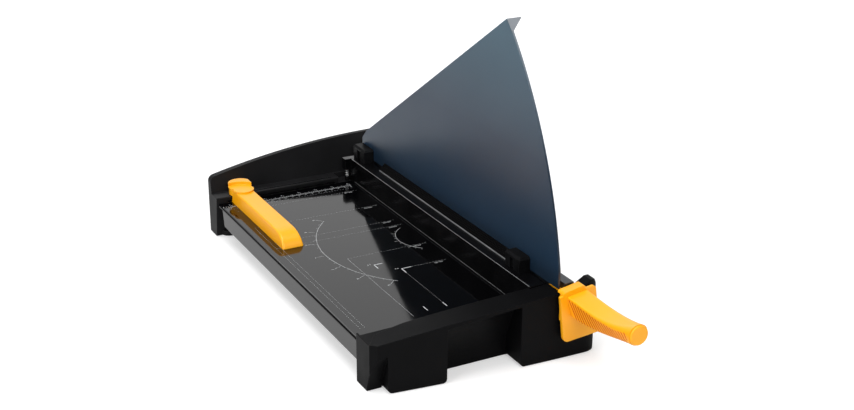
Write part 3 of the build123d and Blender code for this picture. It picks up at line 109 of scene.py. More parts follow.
level = add(tree, "MapRange", {"Value": direct_view(tree), "To Min": level.outputs[0], "To Max": 1.0})
sky = add(tree, "Background", {"Color": linear("#ffffff"), "Strength": level.outputs[0]})
add(tree, "OutputWorld", {"Surface": sky.outputs[0]})

# The table top is pale laminate: matt, without a grain that would show
floor_half = 9.0
made = bmesh.new()
bmesh.ops.create_grid(made, x_segments=8, y_segments=8, size=floor_half)
mesh = bpy.data.meshes.new("studio_floor")
made.to_mesh(mesh)
made.free()
floor = bpy.data.objects.new("studio_floor", mesh)
bpy.context.scene.collection.objects.link(floor)
material, tree = new_material("matt_table_laminate")
# Away from the cutter the table runs into the white cyclorama, from 0.7 to 2.4 m
far = add(tree, "VectorMath", {0: add(tree, "TexCoord").outputs["Object"]}, operation="LENGTH")
far = add(tree, "MapRange", {"Value": far.outputs["Value"], "From Min": 0.7, "From Max": 2.4,
                             "To Min": ambient_level, "To Max": 1.0})
lift = add(tree, "MapRange", {"Value": direct_view(tree), "To Min": 0.0, "To Max": far.outputs[0]})
paper = add(tree, "BsdfDiffuse", {"Color": linear("#dcdcdc")})
glow = add(tree, "Emission", {"Color": linear("#ffffff"), "Strength": lift.outputs[0]})
both = add(tree, "AddShader", {0: paper.outputs[0], 1: glow.outputs[0]})
add(tree, "OutputMaterial", {"Surface": both.outputs[0]})
mesh.materials.append(material)

# Soft boxes: name, place and aim in metres, width, height, watts
soft_boxes = [
    ("overhead_box", (-0.4, 0.2, 1.9), (-0.1, 0.2, 0.0), 1.4, 1.4, 22.0),
    ("left_box", (-1.7, -0.2, 1.1), (-0.1, 0.2, 0.05), 1.2, 1.2, 15.0),
    ("front_box", (-0.3, -2.0, 1.6), (0.0, -0.1, 0.05), 1.4, 1.0, 24.0),
    ("rear_box", (0.15, 2.3, 1.55), (0.0, 0.2, 0.05), 0.6, 0.6, 2.0),
]
for name, place, aim, width, height, power in soft_boxes:
    lamp = bpy.data.lights.new(name, "AREA")
    lamp.shape = "RECTANGLE"
    lamp.size = width
    lamp.size_y = height
    lamp.energy = power
    box = bpy.data.objects.new(name, lamp)
    box.location = place
    box.rotation_euler = (Vector(aim) - Vector(place)).to_track_quat("-Z", "Y").to_euler()
    bpy.context.scene.collection.objects.link(box)

# The camera's own axes, its place in metres and its lens in millimetres
camera_right = Vector((0.88323086, -0.46891027, 0.0051387))
camera_up = Vector((0.17056853, 0.33144875, 0.92792678))
camera_back = Vector((-0.43681761, -0.81869707, 0.3727271))
camera_place = (-0.77238, -1.17037, 0.73135)
focal_length = 55.707
lens = bpy.data.cameras.new("camera")
lens.sensor_fit = "HORIZONTAL"
lens.sensor_width = 36.0
lens.lens = focal_length
camera = bpy.data.objects.new("camera", lens)
turn = Matrix((camera_right, camera_up, camera_back)).transposed().to_4x4()
camera.matrix_world = Matrix.Translation(camera_place) @ turn
bpy.context.scene.collection.objects.link(camera)
bpy.context.scene.camera = camera
bpy.context.scene.view_settings.view_transform = "Standard"

# ---- Board -----------------------------------------------------------------------------------------------
# One sheet of 1.5 mm steel, folded down at the left and powder coated in gloss black. Paper slides over it,
# so it has fine rubbed scratches, and it mirrors the guard and the white studio at a low angle.


def dress(material, *nodes):
    """Gives CAD nodes or pieces their material."""
    for name in nodes:
        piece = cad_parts[name] if isinstance(name, str) else name
        piece.data.materials.clear()
        piece.data.materials.append(material)


def edge_wear(tree, radius, samples=4):
    """Rounded normal of an edge of this radius, and a mask that is 1 on the edge. Callers paint edges lighter
    with it, as wear and as highlights.
    """
    bevel = add(tree, "Bevel", {"Radius": radius}, samples=samples)
    shape = add(tree, "NewGeometry")
    near = add(tree, "VectorMath", {0: bevel.outputs[0], 1: shape.outputs["Normal"]}, operation="DOT_PRODUCT")
    mask = add(tree, "MapRange", {"Value": near.outputs["Value"], "From Min": 0.97, "From Max": 0.80})
    return bevel.outputs[0], mask.outputs[0]


# Gloss powder coat: deep black and mirror-like, a little uneven, with worn edges painted lighter, partly as
# highlights
gloss_enamel, tree = new_material("gloss_black_powder_coat")
place = add(tree, "TexCoord").outputs["Object"]
edge_normal, edge = edge_wear(tree, 0.8 * MM)
# Orange peel of the coat, 3 mm waves
peel = add(tree, "TexNoise", {"Vector": place, "Scale": 1 / (3 * MM), "Detail": 1.0})
# Scratches from paper edges, drawn 0.5 mm apart
stretched = add(tree, "Mapping", {"Vector": place, "Scale": (1.0, 0.04, 1.0), "Rotation": (0, 0, radians(4))})
scratches = add(tree, "TexNoise", {"Vector": stretched.outputs[0], "Scale": 1 / (0.5 * MM), "Detail": 2.0})
smears = add(tree, "TexNoise", {"Vector": place, "Scale": 1 / (60 * MM), "Detail": 3.0})
rough = add(tree, "MapRange", {"Value": smears.outputs[0], "From Min": 0.35, "From Max": 0.7,
                               "To Min": 0.05, "To Max": 0.11})
worn = add(tree, "MapRange", {"Value": scratches.outputs[0], "From Min": 0.62, "From Max": 0.75,
                              "To Min": 0.0, "To Max": 0.05})
rough = add(tree, "Math", {0: rough.outputs[0], 1: worn.outputs[0]}, operation="ADD")
height = add(tree, "Bump", {"Height": peel.outputs[0], "Distance": 0.004 * MM, "Strength": 0.6,
                            "Normal": edge_normal})
# Painted highlight and wear: the edges are a lighter black
tone = add(tree, "Mix", {"Factor": edge, 6: linear("#020203"), 7: linear("#101012")}, data_type="RGBA")
shader = add(tree, "BsdfPrincipled", {"Base Color": tone.outputs[2], "Roughness": rough.outputs[0],
                                      "IOR": 1.5, "Normal": height.outputs[0]})
add(tree, "OutputMaterial", {"Surface": shader.outputs[0]})
dress(gloss_enamel, "base_tray")

# ---- Print on the board ----------------------------------------------------------------------------------
# Screen printed in light grey ink, 0.05 mm thick: paper sizes as dashed lines, rulers along the front stop
# and the rear ledge, and a protractor. It has plain numbers and no words. All sizes are in millimetres.
board_z = 51.0
ink_thick = 0.05
ink_sink = 0.01


def slab(mesh, corners, low, high):
    """A flat prism over these corners."""
    under = [mesh.verts.new((x * MM, y * MM, low * MM)) for x, y in corners]
    over = [mesh.verts.new((x * MM, y * MM, high * MM)) for x, y in corners]
    count = len(corners)
    mesh.faces.new(list(reversed(under)))
    mesh.faces.new(over)
    for i in range(count):
        mesh.faces.new((under[i], under[(i + 1) % count], over[(i + 1) % count], over[i]))


def ink_line(mesh, start, end, width):
    """A printed line from start to end, in millimetres."""
    run = Vector(end) - Vector(start)
    side = Vector((-run.y, run.x)).normalized() * (width / 2)
    corners = [Vector(start) - side, Vector(end) - side, Vector(end) + side, Vector(start) + side]
    slab(mesh, [(c.x, c.y) for c in corners], board_z - ink_sink, board_z + ink_thick)


def dashed(mesh, start, end, width, dash, gap):
    """A dashed line, as long dashes with a gap between them."""
    run = Vector(end) - Vector(start)
    count = int((run.length + gap) // (dash + gap))
    step = run.normalized()
    for i in range(count):
        a = Vector(start) + step * (i * (dash + gap))
        ink_line(mesh, a, a + step * dash, width)


def ink_number(mesh, text, at, size):
    """A plain number, set in the program's own face, that ends at a point in millimetres."""
    words = bpy.data.curves.new("number", "FONT")
    words.body = text
    words.size = size * MM
    words.align_x = "RIGHT"
    words.extrude = (ink_thick + ink_sink) / 2 * MM
    holder = bpy.data.objects.new("number", words)
    bpy.context.scene.collection.objects.link(holder)
    bpy.context.view_layer.update()
    shape = bpy.data.meshes.new_from_object(holder)
    middle = (board_z + (ink_thick - ink_sink) / 2) * MM
    shape.transform(Matrix.Translation((at[0] * MM, at[1] * MM, middle)))
    mesh.from_mesh(shape)
    bpy.data.objects.remove(holder)
    bpy.data.meshes.remove(shape)
    bpy.data.curves.remove(words)


def to_object(mesh, name, smooth=False):
    """Turns a bmesh into an object in the scene."""
    bmesh.ops.recalc_face_normals(mesh, faces=mesh.faces)
    data = bpy.data.meshes.new(name)
    mesh.to_mesh(data)
    mesh.free()
    if smooth:
        data.shade_smooth()
    piece = bpy.data.objects.new(name, data)
    bpy.context.scene.collection.objects.link(piece)
    return piece


# Paper sizes as fine dotted lines: length from the front stop, left end, and the numbers under the right end
grid_left = -222.0
grid_right = -37.0
grid_foot = 30.0
letter_x = -215.9
a4_x = -210.0
a5_x = -148.5
fine = 0.24
dash = 2.2
dash_gap = 2.0
label_x = -46.0
label_drop = 4.4
label_size = 3.6
paper = bmesh.new()
for y, left, label in ((431.8, grid_left, ""), (420.0, letter_x, "297 420"), (355.6, letter_x, "216 356"),
                       (297.0, a4_x, "210 297"), (279.4, letter_x, "216 279"), (210.0, a5_x, "148 210"),
                       (152.4, -88.0, "102 152")):
    dashed(paper, (left, y), (grid_right, y), fine, dash, dash_gap)
    ink_number(paper, label, (label_x, y - label_drop), label_size)
dashed(paper, (letter_x, 352.0), (letter_x, grid_foot), fine, dash, dash_gap)
dashed(paper, (a4_x, 297.0), (a4_x, grid_foot), fine, dash, dash_gap)
ink_line(paper, (a5_x, 210.0), (a5_x, grid_foot), 0.22)
dashed(paper, (-101.6, 138.0), (-101.6, 49.0), 0.2, 1.5, 1.8)
# Two small print sizes in inches, each a bold corner with a short mark below
corner_width = 1.4
for x, y, out, label in ((-127.0, 177.8, 11.5, "5 7"), (-101.6, 152.4, 13.0, "4 6")):
    ink_line(paper, (x, y), (x + out, y), corner_width)
    ink_line(paper, (x, y), (x, y - out), corner_width)
    ink_line(paper, (x, 47.0), (x, 36.0), 1.1)
    ink_number(paper, label, (x - 3.0, y + 1.5), 4.0)
paper_lines = to_object(paper, "paper_size_print")
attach(paper_lines, "base")

# Rulers: inches behind and centimetres in front of one line at the rear. Two rows of marks at the front stop
# rise a little to the right.
inch = 25.4
ruler_y = 441.0
eighths = (6.5, 2.2, 3.2, 2.2, 4.2, 2.2, 3.2, 2.2)
eighth_marks = 61
metric_step = 2.0
metric_marks = 93
front_x = -50.4
front_slope = 0.113
front_dots = 7
rulers = bmesh.new()
ink_line(rulers, (grid_left + 4, ruler_y), (grid_right, ruler_y), 0.4)
for count in range(eighth_marks):
    mark = grid_right - count * inch / 8
    ink_line(rulers, (mark, ruler_y), (mark, ruler_y + eighths[count % 8]), 0.45)
    if count % 8 == 0:
        ink_number(rulers, str(count // 8), (mark - 1.0, ruler_y + 5.5), 4.4)
for count in range(metric_marks):
    mark = grid_right - metric_step * count
    ink_line(rulers, (mark, ruler_y), (mark, ruler_y - (4.5 if count % 5 == 0 else 1.8)), 0.4)
    if count % 5 == 0:
        ink_number(rulers, str(count // 5), (mark - 0.8, ruler_y - 5.4), 3.0)
for count in range(front_dots):
    x = front_x - count * inch
    y = 30.5 + (x - front_x) * front_slope
    ink_line(rulers, (x, y - 3.0), (x, y), 0.8)
for count in range(metric_marks):
    x = grid_right - metric_step * count
    y = 27.0 + (x - front_x) * front_slope
    ink_line(rulers, (x, y - (3.0 if count % 5 == 0 else 1.5)), (x, y), 0.25)
ruler_lines = to_object(rulers, "ruler_print")
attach(ruler_lines, "base")


def ink_arc(mesh, centre, radius, start, end, width, steps):
    """A printed arc, angles in degrees from +X."""
    turns = [radians(start + (end - start) * i / steps) for i in range(steps + 1)]
    at = [Vector((centre[0] + radius * cos(t), centre[1] + radius * sin(t))) for t in turns]
    for a, b in zip(at, at[1:]):
        ink_line(mesh, a, b, width)


def ink_tick(mesh, centre, radius, angle, reach, width):
    """A tick that stands outside an arc. Gives the direction it points in."""
    out = Vector((cos(radians(angle)), sin(radians(angle))))
    ink_line(mesh, centre + out * radius, centre + out * (radius + reach), width)
    return out


# Protractor: a wide arc with ticks and degrees outside it, and a small one round the same point
arc_centre = Vector((-21.0, 231.0))
arc_radius = 147.5
arcs = bmesh.new()
ink_arc(arcs, arc_centre, arc_radius, start=135.0, end=227.0, width=0.5, steps=56)
for angle in range(135, 226, 15):
    out = ink_tick(arcs, arc_centre, arc_radius, angle, reach=12, width=0.35)
    ink_number(arcs, str(abs(angle - 180)), arc_centre + out * (arc_radius + 13.5) - Vector((0, 1.5)), 3.6)
for angle in range(140, 225, 5):
    ink_tick(arcs, arc_centre, arc_radius, angle, reach=3, width=0.3)
small_radius = 44.5
ink_arc(arcs, arc_centre, small_radius, start=122.0, end=230.0, width=0.4, steps=40)
for angle in range(140, 231, 10):
    ink_tick(arcs, arc_centre, small_radius, angle, reach=6 if angle % 30 == 0 else 3, width=0.3)
arc_lines = to_object(arcs, "protractor_print")
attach(arc_lines, "base")

# Screen ink: pale grey and matt on the gloss, speckled where it lies thin
ink, tree = new_material("light_grey_screen_ink")
place = add(tree, "TexCoord").outputs["Object"]
specks = add(tree, "TexNoise", {"Vector": place, "Scale": 1 / (1.0 * MM), "Detail": 2.0})
tone = add(tree, "Mix", {"Factor": specks.outputs[0], 6: linear("#a3a5a7"), 7: linear("#d2d4d6")},
           data_type="RGBA")
shader = add(tree, "BsdfPrincipled", {"Base Color": tone.outputs[2], "Roughness": 0.45})
add(tree, "OutputMaterial", {"Surface": shader.outputs[0]})
dress(ink, paper_lines, ruler_lines, arc_lines)

# ---- Steel under the board -------------------------------------------------------------------------------
# A square tube under the cutting edge, three hat ribs, the hinge bracket and the guide posts, all steel with
# bright zinc plating, which shows a faint bluish spangle.
zinc, tree = new_material("bright_zinc_plated_steel")
place = add(tree, "TexCoord").outputs["Object"]
edge_normal, edge = edge_wear(tree, 0.4 * MM)
# Zinc crystals, 4 mm
spangle = add(tree, "TexVoronoi", {"Vector": place, "Scale": 1 / (4 * MM)})
tone = add(tree, "Mix", {"Factor": spangle.outputs["Distance"], 6: linear("#9ea3a8"), 7: linear("#c3c7ca")},
           data_type="RGBA")
cloud = add(tree, "TexNoise", {"Vector": place, "Scale": 1 / (8 * MM), "Detail": 3.0})
rough = add(tree, "MapRange", {"Value": cloud.outputs[0], "To Min": 0.25, "To Max": 0.5})
height = add(tree, "Bump", {"Height": spangle.outputs["Distance"], "Distance": 0.01 * MM,
                            "Normal": edge_normal})
shader = add(tree, "BsdfPrincipled", {"Base Color": tone.outputs[2], "Metallic": 1.0,
                                      "Roughness": rough.outputs[0], "Normal": height.outputs[0]})
add(tree, "OutputMaterial", {"Surface": shader.outputs[0]})
dress(zinc, "blade_beam", "cross_ribs", "pivot_bracket", "clamp_posts")

# ---- Blades ----------------------------------------------------------------------------------------------
# Hardened tool steel, ground along its length. The grinding lines run with the blade and stretch the
# highlights across it.
blade_steel, tree = new_material("ground_tool_steel")
place = add(tree, "TexCoord").outputs["Object"]
# Grinding lines 0.4 mm apart, drawn coarser than the real 0.05 mm so that they show
lines = add(tree, "Mapping", {"Vector": place, "Scale": (1.0, 0.01, 1.0)})
grind = add(tree, "TexNoise", {"Vector": lines.outputs[0], "Scale": 1 / (0.4 * MM), "Detail": 3.0})
rough = add(tree, "MapRange", {"Value": grind.outputs[0], "To Min": 0.18, "To Max": 0.42})
tone = add(tree, "Mix", {"Factor": grind.outputs[0], 6: linear("#8e9194"), 7: linear("#c9cccf")},
           data_type="RGBA")
edge_normal, edge = edge_wear(tree, 0.2 * MM)
height = add(tree, "Bump", {"Height": grind.outputs[0], "Distance": 0.01 * MM, "Normal": edge_normal})
shader = add(tree, "BsdfPrincipled", {"Base Color": tone.outputs[2], "Metallic": 1.0,
                                      "Roughness": rough.outputs[0], "Normal": height.outputs[0]})
add(tree, "OutputMaterial", {"Surface": shader.outputs[0]})
dress(blade_steel, "lower_blade", "upper_blade")

# ---- End caps --------------------------------------------------------------------------------------------
# Front and rear mouldings in black ABS with a fine spark-eroded grain, so they look matt. Their edges are
# rubbed smoother where hands and paper touch them, and painted lighter, partly as wear and partly as
# highlights.


def plastic(name, base, rubbed_and_highlight, grain, roughness, specular, radius, distance):
    """Moulded plastic: grain in metres, a rounded edge and slightly polished edges, painted lighter as wear
    and highlights.
    """
    made, tree = new_material(name)
    place = add(tree, "TexCoord").outputs["Object"]
    edge_normal, edge = edge_wear(tree, radius)
    pits = add(tree, "TexNoise", {"Vector": place, "Scale": 1 / grain, "Detail": 3.0, "Roughness": 0.6})
    cloud = add(tree, "TexNoise", {"Vector": place, "Scale": 1 / (35 * MM), "Detail": 3.0})
    patchy = add(tree, "MapRange", {"Value": cloud.outputs[0], "From Min": 0.3, "From Max": 0.7,
                                    "To Min": roughness - 0.05, "To Max": roughness + 0.06})
    polish = add(tree, "MapRange", {"Value": edge, "To Min": 0.0, "To Max": 0.12})
    rough = add(tree, "Math", {0: patchy.outputs[0], 1: polish.outputs[0]}, operation="SUBTRACT")
    shade = add(tree, "MapRange", {"Value": cloud.outputs[0], "From Min": 0.3, "From Max": 0.7,
                                   "To Min": 0.0, "To Max": 0.25})
    # Painted highlight and wear: the edges take the lighter colour, as random cloudy patches do
    mixed = add(tree, "Math", {0: shade.outputs[0], 1: edge}, operation="MAXIMUM")
    tone = add(tree, "Mix", {"Factor": mixed.outputs[0], 6: linear(base), 7: linear(rubbed_and_highlight)},
               data_type="RGBA")
    height = add(tree, "Bump", {"Height": pits.outputs[0], "Distance": distance, "Normal": edge_normal})
    shader = add(tree, "BsdfPrincipled", {"Base Color": tone.outputs[2], "Roughness": rough.outputs[0],
                                          "IOR": 1.53, "Specular IOR Level": specular,
                                          "Normal": height.outputs[0]})
    add(tree, "OutputMaterial", {"Surface": shader.outputs[0]})
    return made


# Spark-eroded ABS: nearly black and matt
cap_abs = plastic("matt_black_moulded_abs", "#080809", "#121214", grain=0.6 * MM, roughness=0.44,
                  specular=0.06, radius=1.0 * MM, distance=0.03 * MM)
dress(cap_abs, "front_cap")
# The same in a paler grey: painted light, for the extra light that the fence's face catches from above
fence_abs = plastic("pale_painted_light_black_abs", "#19191a", "#262628", grain=0.6 * MM, roughness=0.44,
                    specular=0.10, radius=1.0 * MM, distance=0.03 * MM)
# Painted reflection: above a line that rises to the right, the fence turns transparent to mirror rays, so the
# board mirrors only its foot and shows the cyclorama through the rest.
image_line = 83.0 * MM
image_slope = 0.093
tree = fence_abs.node_tree
spot = add(tree, "SeparateXYZ", {0: add(tree, "TexCoord").outputs["Object"]})
line = add(tree, "Math", {0: spot.outputs[0], 1: -image_slope, 2: spot.outputs[2]}, operation="MULTIPLY_ADD")
above = add(tree, "Math", {0: line.outputs[0], 1: image_line}, operation="GREATER_THAN")
painted_reflection_gap = add(tree, "Math", {0: above.outputs[0], 1: add(tree, "LightPath").outputs["Is Glossy Ray"]},
             operation="MULTIPLY")
output = next(node for node in tree.nodes if node.type == "OUTPUT_MATERIAL")
solid = output.inputs["Surface"].links[0].from_socket
both = add(tree, "MixShader", {0: painted_reflection_gap.outputs[0], 1: solid, 2: add(tree, "BsdfTransparent").outputs[0]})
tree.links.new(both.outputs[0], output.inputs["Surface"])
dress(fence_abs, "rear_cap")

# ---- Screws, bolts and springs ---------------------------------------------------------------------------
# Cold headed steel fasteners with dull zinc plating, which looks grey and slightly blotched. The disc springs
# and the solid clamp springs have it too.
screw_steel, tree = new_material("dull_zinc_fastener_steel")
place = add(tree, "TexCoord").outputs["Object"]
edge_normal, edge = edge_wear(tree, 0.3 * MM)
cloud = add(tree, "TexNoise", {"Vector": place, "Scale": 1 / (1.5 * MM), "Detail": 3.0})
rough = add(tree, "MapRange", {"Value": cloud.outputs[0], "To Min": 0.28, "To Max": 0.5})
tone = add(tree, "Mix", {"Factor": cloud.outputs[0], 6: linear("#7f8386"), 7: linear("#b5b9bb")},
           data_type="RGBA")
height = add(tree, "Bump", {"Height": cloud.outputs[0], "Distance": 0.01 * MM, "Normal": edge_normal})
shader = add(tree, "BsdfPrincipled", {"Base Color": tone.outputs[2], "Metallic": 1.0,
                                      "Roughness": rough.outputs[0], "Normal": height.outputs[0]})
add(tree, "OutputMaterial", {"Surface": shader.outputs[0]})
dress(screw_steel, "lower_blade_screws", "upper_blade_screws", "cap_screws", "bracket_screws", "guard_screws",
      "pivot_bolt", "pivot_nut", "grip_bolt", "gauge_bolt", "pivot_spring",
      "front_clamp_spring", "rear_clamp_spring")

# The spring under the rear end of the clamp bar shows beside the ledge, as three bright turns round its post.
# It stands on a small moulded collar.
low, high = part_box("rear_clamp_spring")
post = Vector(((low[0] + high[0]) / 2, (low[1] + high[1]) / 2, low[2]))
collar_height = 6.0
foot = low[2] + collar_height * MM
wire = 0.65 * MM
coil_radius = (high[0] - low[0]) / 2 - wire
coil_turns = 3
ring_steps = 20
wire_steps = 8


def skin_rings(mesh, rings):
    """Joins rings of vertices, each to the next, by a skin of quads."""
    for a, b in zip(rings, rings[1:]):
        for k in range(len(a)):
            mesh.faces.new((a[k], a[(k + 1) % len(a)], b[(k + 1) % len(a)], b[k]))


def outward(turn):
    """Level direction at this angle."""
    return Vector((cos(turn), sin(turn), 0))


coil = bmesh.new()
loops = []
for i in range(coil_turns * ring_steps + 1):
    share = i / (coil_turns * ring_steps)
    out = outward(2 * pi * i / ring_steps)
    heart = Vector((post.x, post.y, foot + wire)) + out * coil_radius
    heart.z += share * (high[2] - foot - 2 * wire)
    loops.append([coil.verts.new(heart + wire * (out * cos(2 * pi * k / wire_steps)
                                                 + Vector((0, 0, sin(2 * pi * k / wire_steps)))))
                  for k in range(wire_steps)])
skin_rings(coil, loops)
coil.faces.new(list(reversed(loops[0])))
coil.faces.new(loops[-1])
spring = to_object(coil, "rear_spring_coil", smooth=True)
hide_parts("rear_clamp_spring")
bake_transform(spring)

collar = bmesh.new()
collar_rings = [[collar.verts.new(post + outward(2 * pi * k / ring_steps) * radius * MM
                                  + Vector((0, 0, rise * MM))) for k in range(ring_steps)]
                for radius, rise in ((1.6, 0.0), (3.1, 0.0), (3.1, collar_height - 0.6),
                                     (2.7, collar_height), (1.6, collar_height))]
skin_rings(collar, collar_rings + collar_rings[:1])
seat = to_object(collar, "rear_spring_collar")
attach(seat, "base")
dress(cap_abs, seat)
# Nickel plated wire: bright, with fine lines from drawing it
nickel, tree = new_material("bright_nickel_spring_wire")
place = add(tree, "TexCoord").outputs["Object"]
draw_lines = add(tree, "TexNoise", {"Vector": place, "Scale": 1 / (0.5 * MM), "Detail": 2.0})
tone = add(tree, "Mix", {"Factor": draw_lines.outputs[0], 6: linear("#d2d2d0"), 7: linear("#f2f2f0")},
           data_type="RGBA")
rough = add(tree, "MapRange", {"Value": draw_lines.outputs[0], "To Min": 0.2, "To Max": 0.4})
shader = add(tree, "BsdfPrincipled", {"Base Color": tone.outputs[2], "Metallic": 0.9,
                                      "Roughness": rough.outputs[0]})
add(tree, "OutputMaterial", {"Surface": shader.outputs[0]})
dress(nickel, spring)

# ---- Rubber feet, bumper and clamp strip -----------------------------------------------------------------
# Black moulded rubber, dull and slightly dusty. The feet and the bumper are pressed into the caps, and the
# strip fills a recess under the clamp bar.
rubber = plastic("dull_black_rubber", "#121213", "#242425", grain=0.9 * MM, roughness=0.8,
                 specular=0.25, radius=0.5 * MM, distance=0.05 * MM)
dress(rubber, "foot_pads", "arm_bumper", "clamp_pad")

# ---- Clamp bar and its grip ------------------------------------------------------------------------------
# Extruded aluminium bar in black enamel, with a ribbed black grip strip that is snapped along its top and two
# clips that hold the guard.

# Enamel: black with a soft gloss, so it takes a blurred image of the guard
bar_enamel = plastic("gloss_black_enamel", "#050506", "#101012", grain=1.2 * MM, roughness=0.20,
                     specular=0.35, radius=0.5 * MM, distance=0.003 * MM)
dress(bar_enamel, "clamp_bar")
# Clips: moulded finer than the caps, with grey edges, partly rubbed and partly painted highlights
clip_abs = plastic("fine_grained_black_abs", "#050506", "#2e2f31", grain=0.5 * MM, roughness=0.40,
                   specular=0.06, radius=0.5 * MM, distance=0.01 * MM)
dress(clip_abs, "front_guard_clip", "rear_guard_clip")
# Grip: the darkest of them, without shine
grip_abs = plastic("dull_black_grip_abs", "#040405", "#0a0a0b", grain=0.5 * MM, roughness=0.45,
                   specular=0.05, radius=0.2 * MM, distance=0.01 * MM)
dress(grip_abs, "clamp_grip")

# Painted highlights: thin strips of grey metal along the foot of the grip and the two long edges of the bar's
# left side stand in for the light these edges catch. They are patchy and half bright.
edge_highlight_paint, tree = new_material("painted_edge_highlight_aluminium")
place = add(tree, "TexCoord").outputs["Object"]
highlight_patches = add(tree, "Mapping", {"Vector": place, "Scale": (1.0, 0.15, 1.0)})
highlight_patches = add(tree, "TexNoise", {"Vector": highlight_patches.outputs[0], "Scale": 1 / (2.5 * MM), "Detail": 3.0})
tone = add(tree, "Mix", {"Factor": highlight_patches.outputs[0], 6: linear("#76787a"), 7: linear("#c8cacc")},
           data_type="RGBA")
rough = add(tree, "MapRange", {"Value": highlight_patches.outputs[0], "To Min": 0.3, "To Max": 0.5})
shader = add(tree, "BsdfPrincipled", {"Base Color": tone.outputs[2], "Metallic": 0.6,
                                      "Roughness": rough.outputs[0]})
add(tree, "OutputMaterial", {"Surface": shader.outputs[0]})


def edge_strip(name, x, z, width, height, start, stop):
    """A thin strip along +Y with bevelled long edges, a painted edge highlight. Sizes in metres; x and z are
    its low left corner.
    """
    made = bmesh.new()
    nick = min(width, height) * 0.3
    outline = [(x, z), (x + width, z), (x + width, z + height - nick), (x + width - nick, z + height),
               (x + nick, z + height), (x, z + height - nick)]
    segments = 12
    rings = [[made.verts.new((px, start + (stop - start) * i / segments, pz)) for px, pz in outline]
             for i in range(segments + 1)]
    skin_rings(made, rings)
    made.faces.new(rings[0])
    made.faces.new(list(reversed(rings[-1])))
    piece = to_object(made, name)
    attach(piece, "clamp")
    dress(edge_highlight_paint, piece)


grip_low, grip_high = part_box("clamp_grip")
bar_low, bar_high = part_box("clamp_bar")
pad_low, pad_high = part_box("clamp_pad")
bar_side = -27.8 * MM
edge_strip("grip_foot_highlight", grip_low[0] - 0.3 * MM, grip_low[2] + 0.2 * MM, width=1.3 * MM, height=1.5 * MM,
           start=grip_low[1] + 1 * MM, stop=grip_high[1] - 1 * MM)
edge_strip("bar_upper_highlight", bar_side - 0.05 * MM, grip_low[2] - 0.45 * MM, width=0.5 * MM, height=0.5 * MM,
           start=bar_low[1] + 2 * MM, stop=bar_high[1] - 2 * MM)
edge_strip("bar_lower_highlight", bar_side - 0.06 * MM, pad_high[2] + 0.2 * MM, width=0.4 * MM, height=0.55 * MM,
           start=pad_low[1], stop=pad_high[1])

# ---- Guard -----------------------------------------------------------------------------------------------
# One sheet of 2.5 mm smoke polycarbonate, pressed to a lip at its peak. It lets through a few percent of the
# light, with a blue cast, and its satin face mirrors the table softly.
guard_smoke, tree = new_material("satin_smoke_polycarbonate")
place = add(tree, "TexCoord").outputs["Object"]
# Satin grain, 0.8 mm
grain = add(tree, "TexNoise", {"Vector": place, "Scale": 1 / (0.8 * MM), "Detail": 2.0})
cloud = add(tree, "TexNoise", {"Vector": place, "Scale": 1 / (90 * MM), "Detail": 2.0})
rough = add(tree, "MapRange", {"Value": cloud.outputs[0], "From Min": 0.3, "From Max": 0.7,
                               "To Min": 0.30, "To Max": 0.36})
height = add(tree, "Bump", {"Height": grain.outputs[0], "Distance": 0.002 * MM})
# Painted light: faces that point up, as the lip at the peak does, are painted pale grey; they let less light
# through
facing = add(tree, "SeparateXYZ", {0: add(tree, "NewGeometry").outputs["Normal"]}).outputs[2]
facing_up_mask = add(tree, "MapRange", {"Value": facing, "From Min": 0.35, "From Max": 0.7})
# Painted light: the smoke tint turns lighter and bluer towards the peak, and stays darker low down
painted_light_foot = 225.0 * MM
painted_light_top = 355.0 * MM
peak = add(tree, "SeparateXYZ", {0: place}).outputs[2]
painted_light_rise = add(tree, "MapRange", {"Value": peak, "From Min": painted_light_foot, "From Max": painted_light_top})
smoke = add(tree, "Mix", {"Factor": painted_light_rise.outputs[0], 6: linear("#2b4966"), 7: linear("#587f95")},
            data_type="RGBA")
tone = add(tree, "Mix", {"Factor": facing_up_mask.outputs[0], 6: smoke.outputs[2], 7: linear("#8d9298")},
           data_type="RGBA")
clear = add(tree, "MapRange", {"Value": facing_up_mask.outputs[0], "To Min": 0.75, "To Max": 0.2})
# Painted reflection: to mirror rays the guard turns nearly black, so its image in the board and the bar is
# dark
painted_reflection_shade = 0.85
mirrored = add(tree, "Math", {0: add(tree, "LightPath").outputs["Is Glossy Ray"], 1: painted_reflection_shade},
               operation="MULTIPLY")
tone = add(tree, "Mix", {"Factor": mirrored.outputs[0], 6: tone.outputs[2], 7: linear("#020304")},
           data_type="RGBA")
shader = add(tree, "BsdfPrincipled", {"Base Color": tone.outputs[2], "Roughness": rough.outputs[0],
                                      "IOR": 1.58, "Transmission Weight": clear.outputs[0],
                                      "Normal": height.outputs[0]})
add(tree, "OutputMaterial", {"Surface": shader.outputs[0]})
dress(guard_smoke, "guard_sheet")

# ---- Cutting arm -----------------------------------------------------------------------------------------
# Die cast aluminium bar with a bead blasted finish, which is an even soft grey. Its edges are painted
# brighter, partly as wear and partly as highlights. A bush of sintered bronze, brown and finely pored, sits
# in its hinge.
arm_metal, tree = new_material("bead_blasted_aluminium")
place = add(tree, "TexCoord").outputs["Object"]
edge_normal, edge = edge_wear(tree, 0.6 * MM)
blast = add(tree, "TexNoise", {"Vector": place, "Scale": 1 / (0.7 * MM), "Detail": 3.0})
rough = add(tree, "MapRange", {"Value": blast.outputs[0], "To Min": 0.38, "To Max": 0.58})
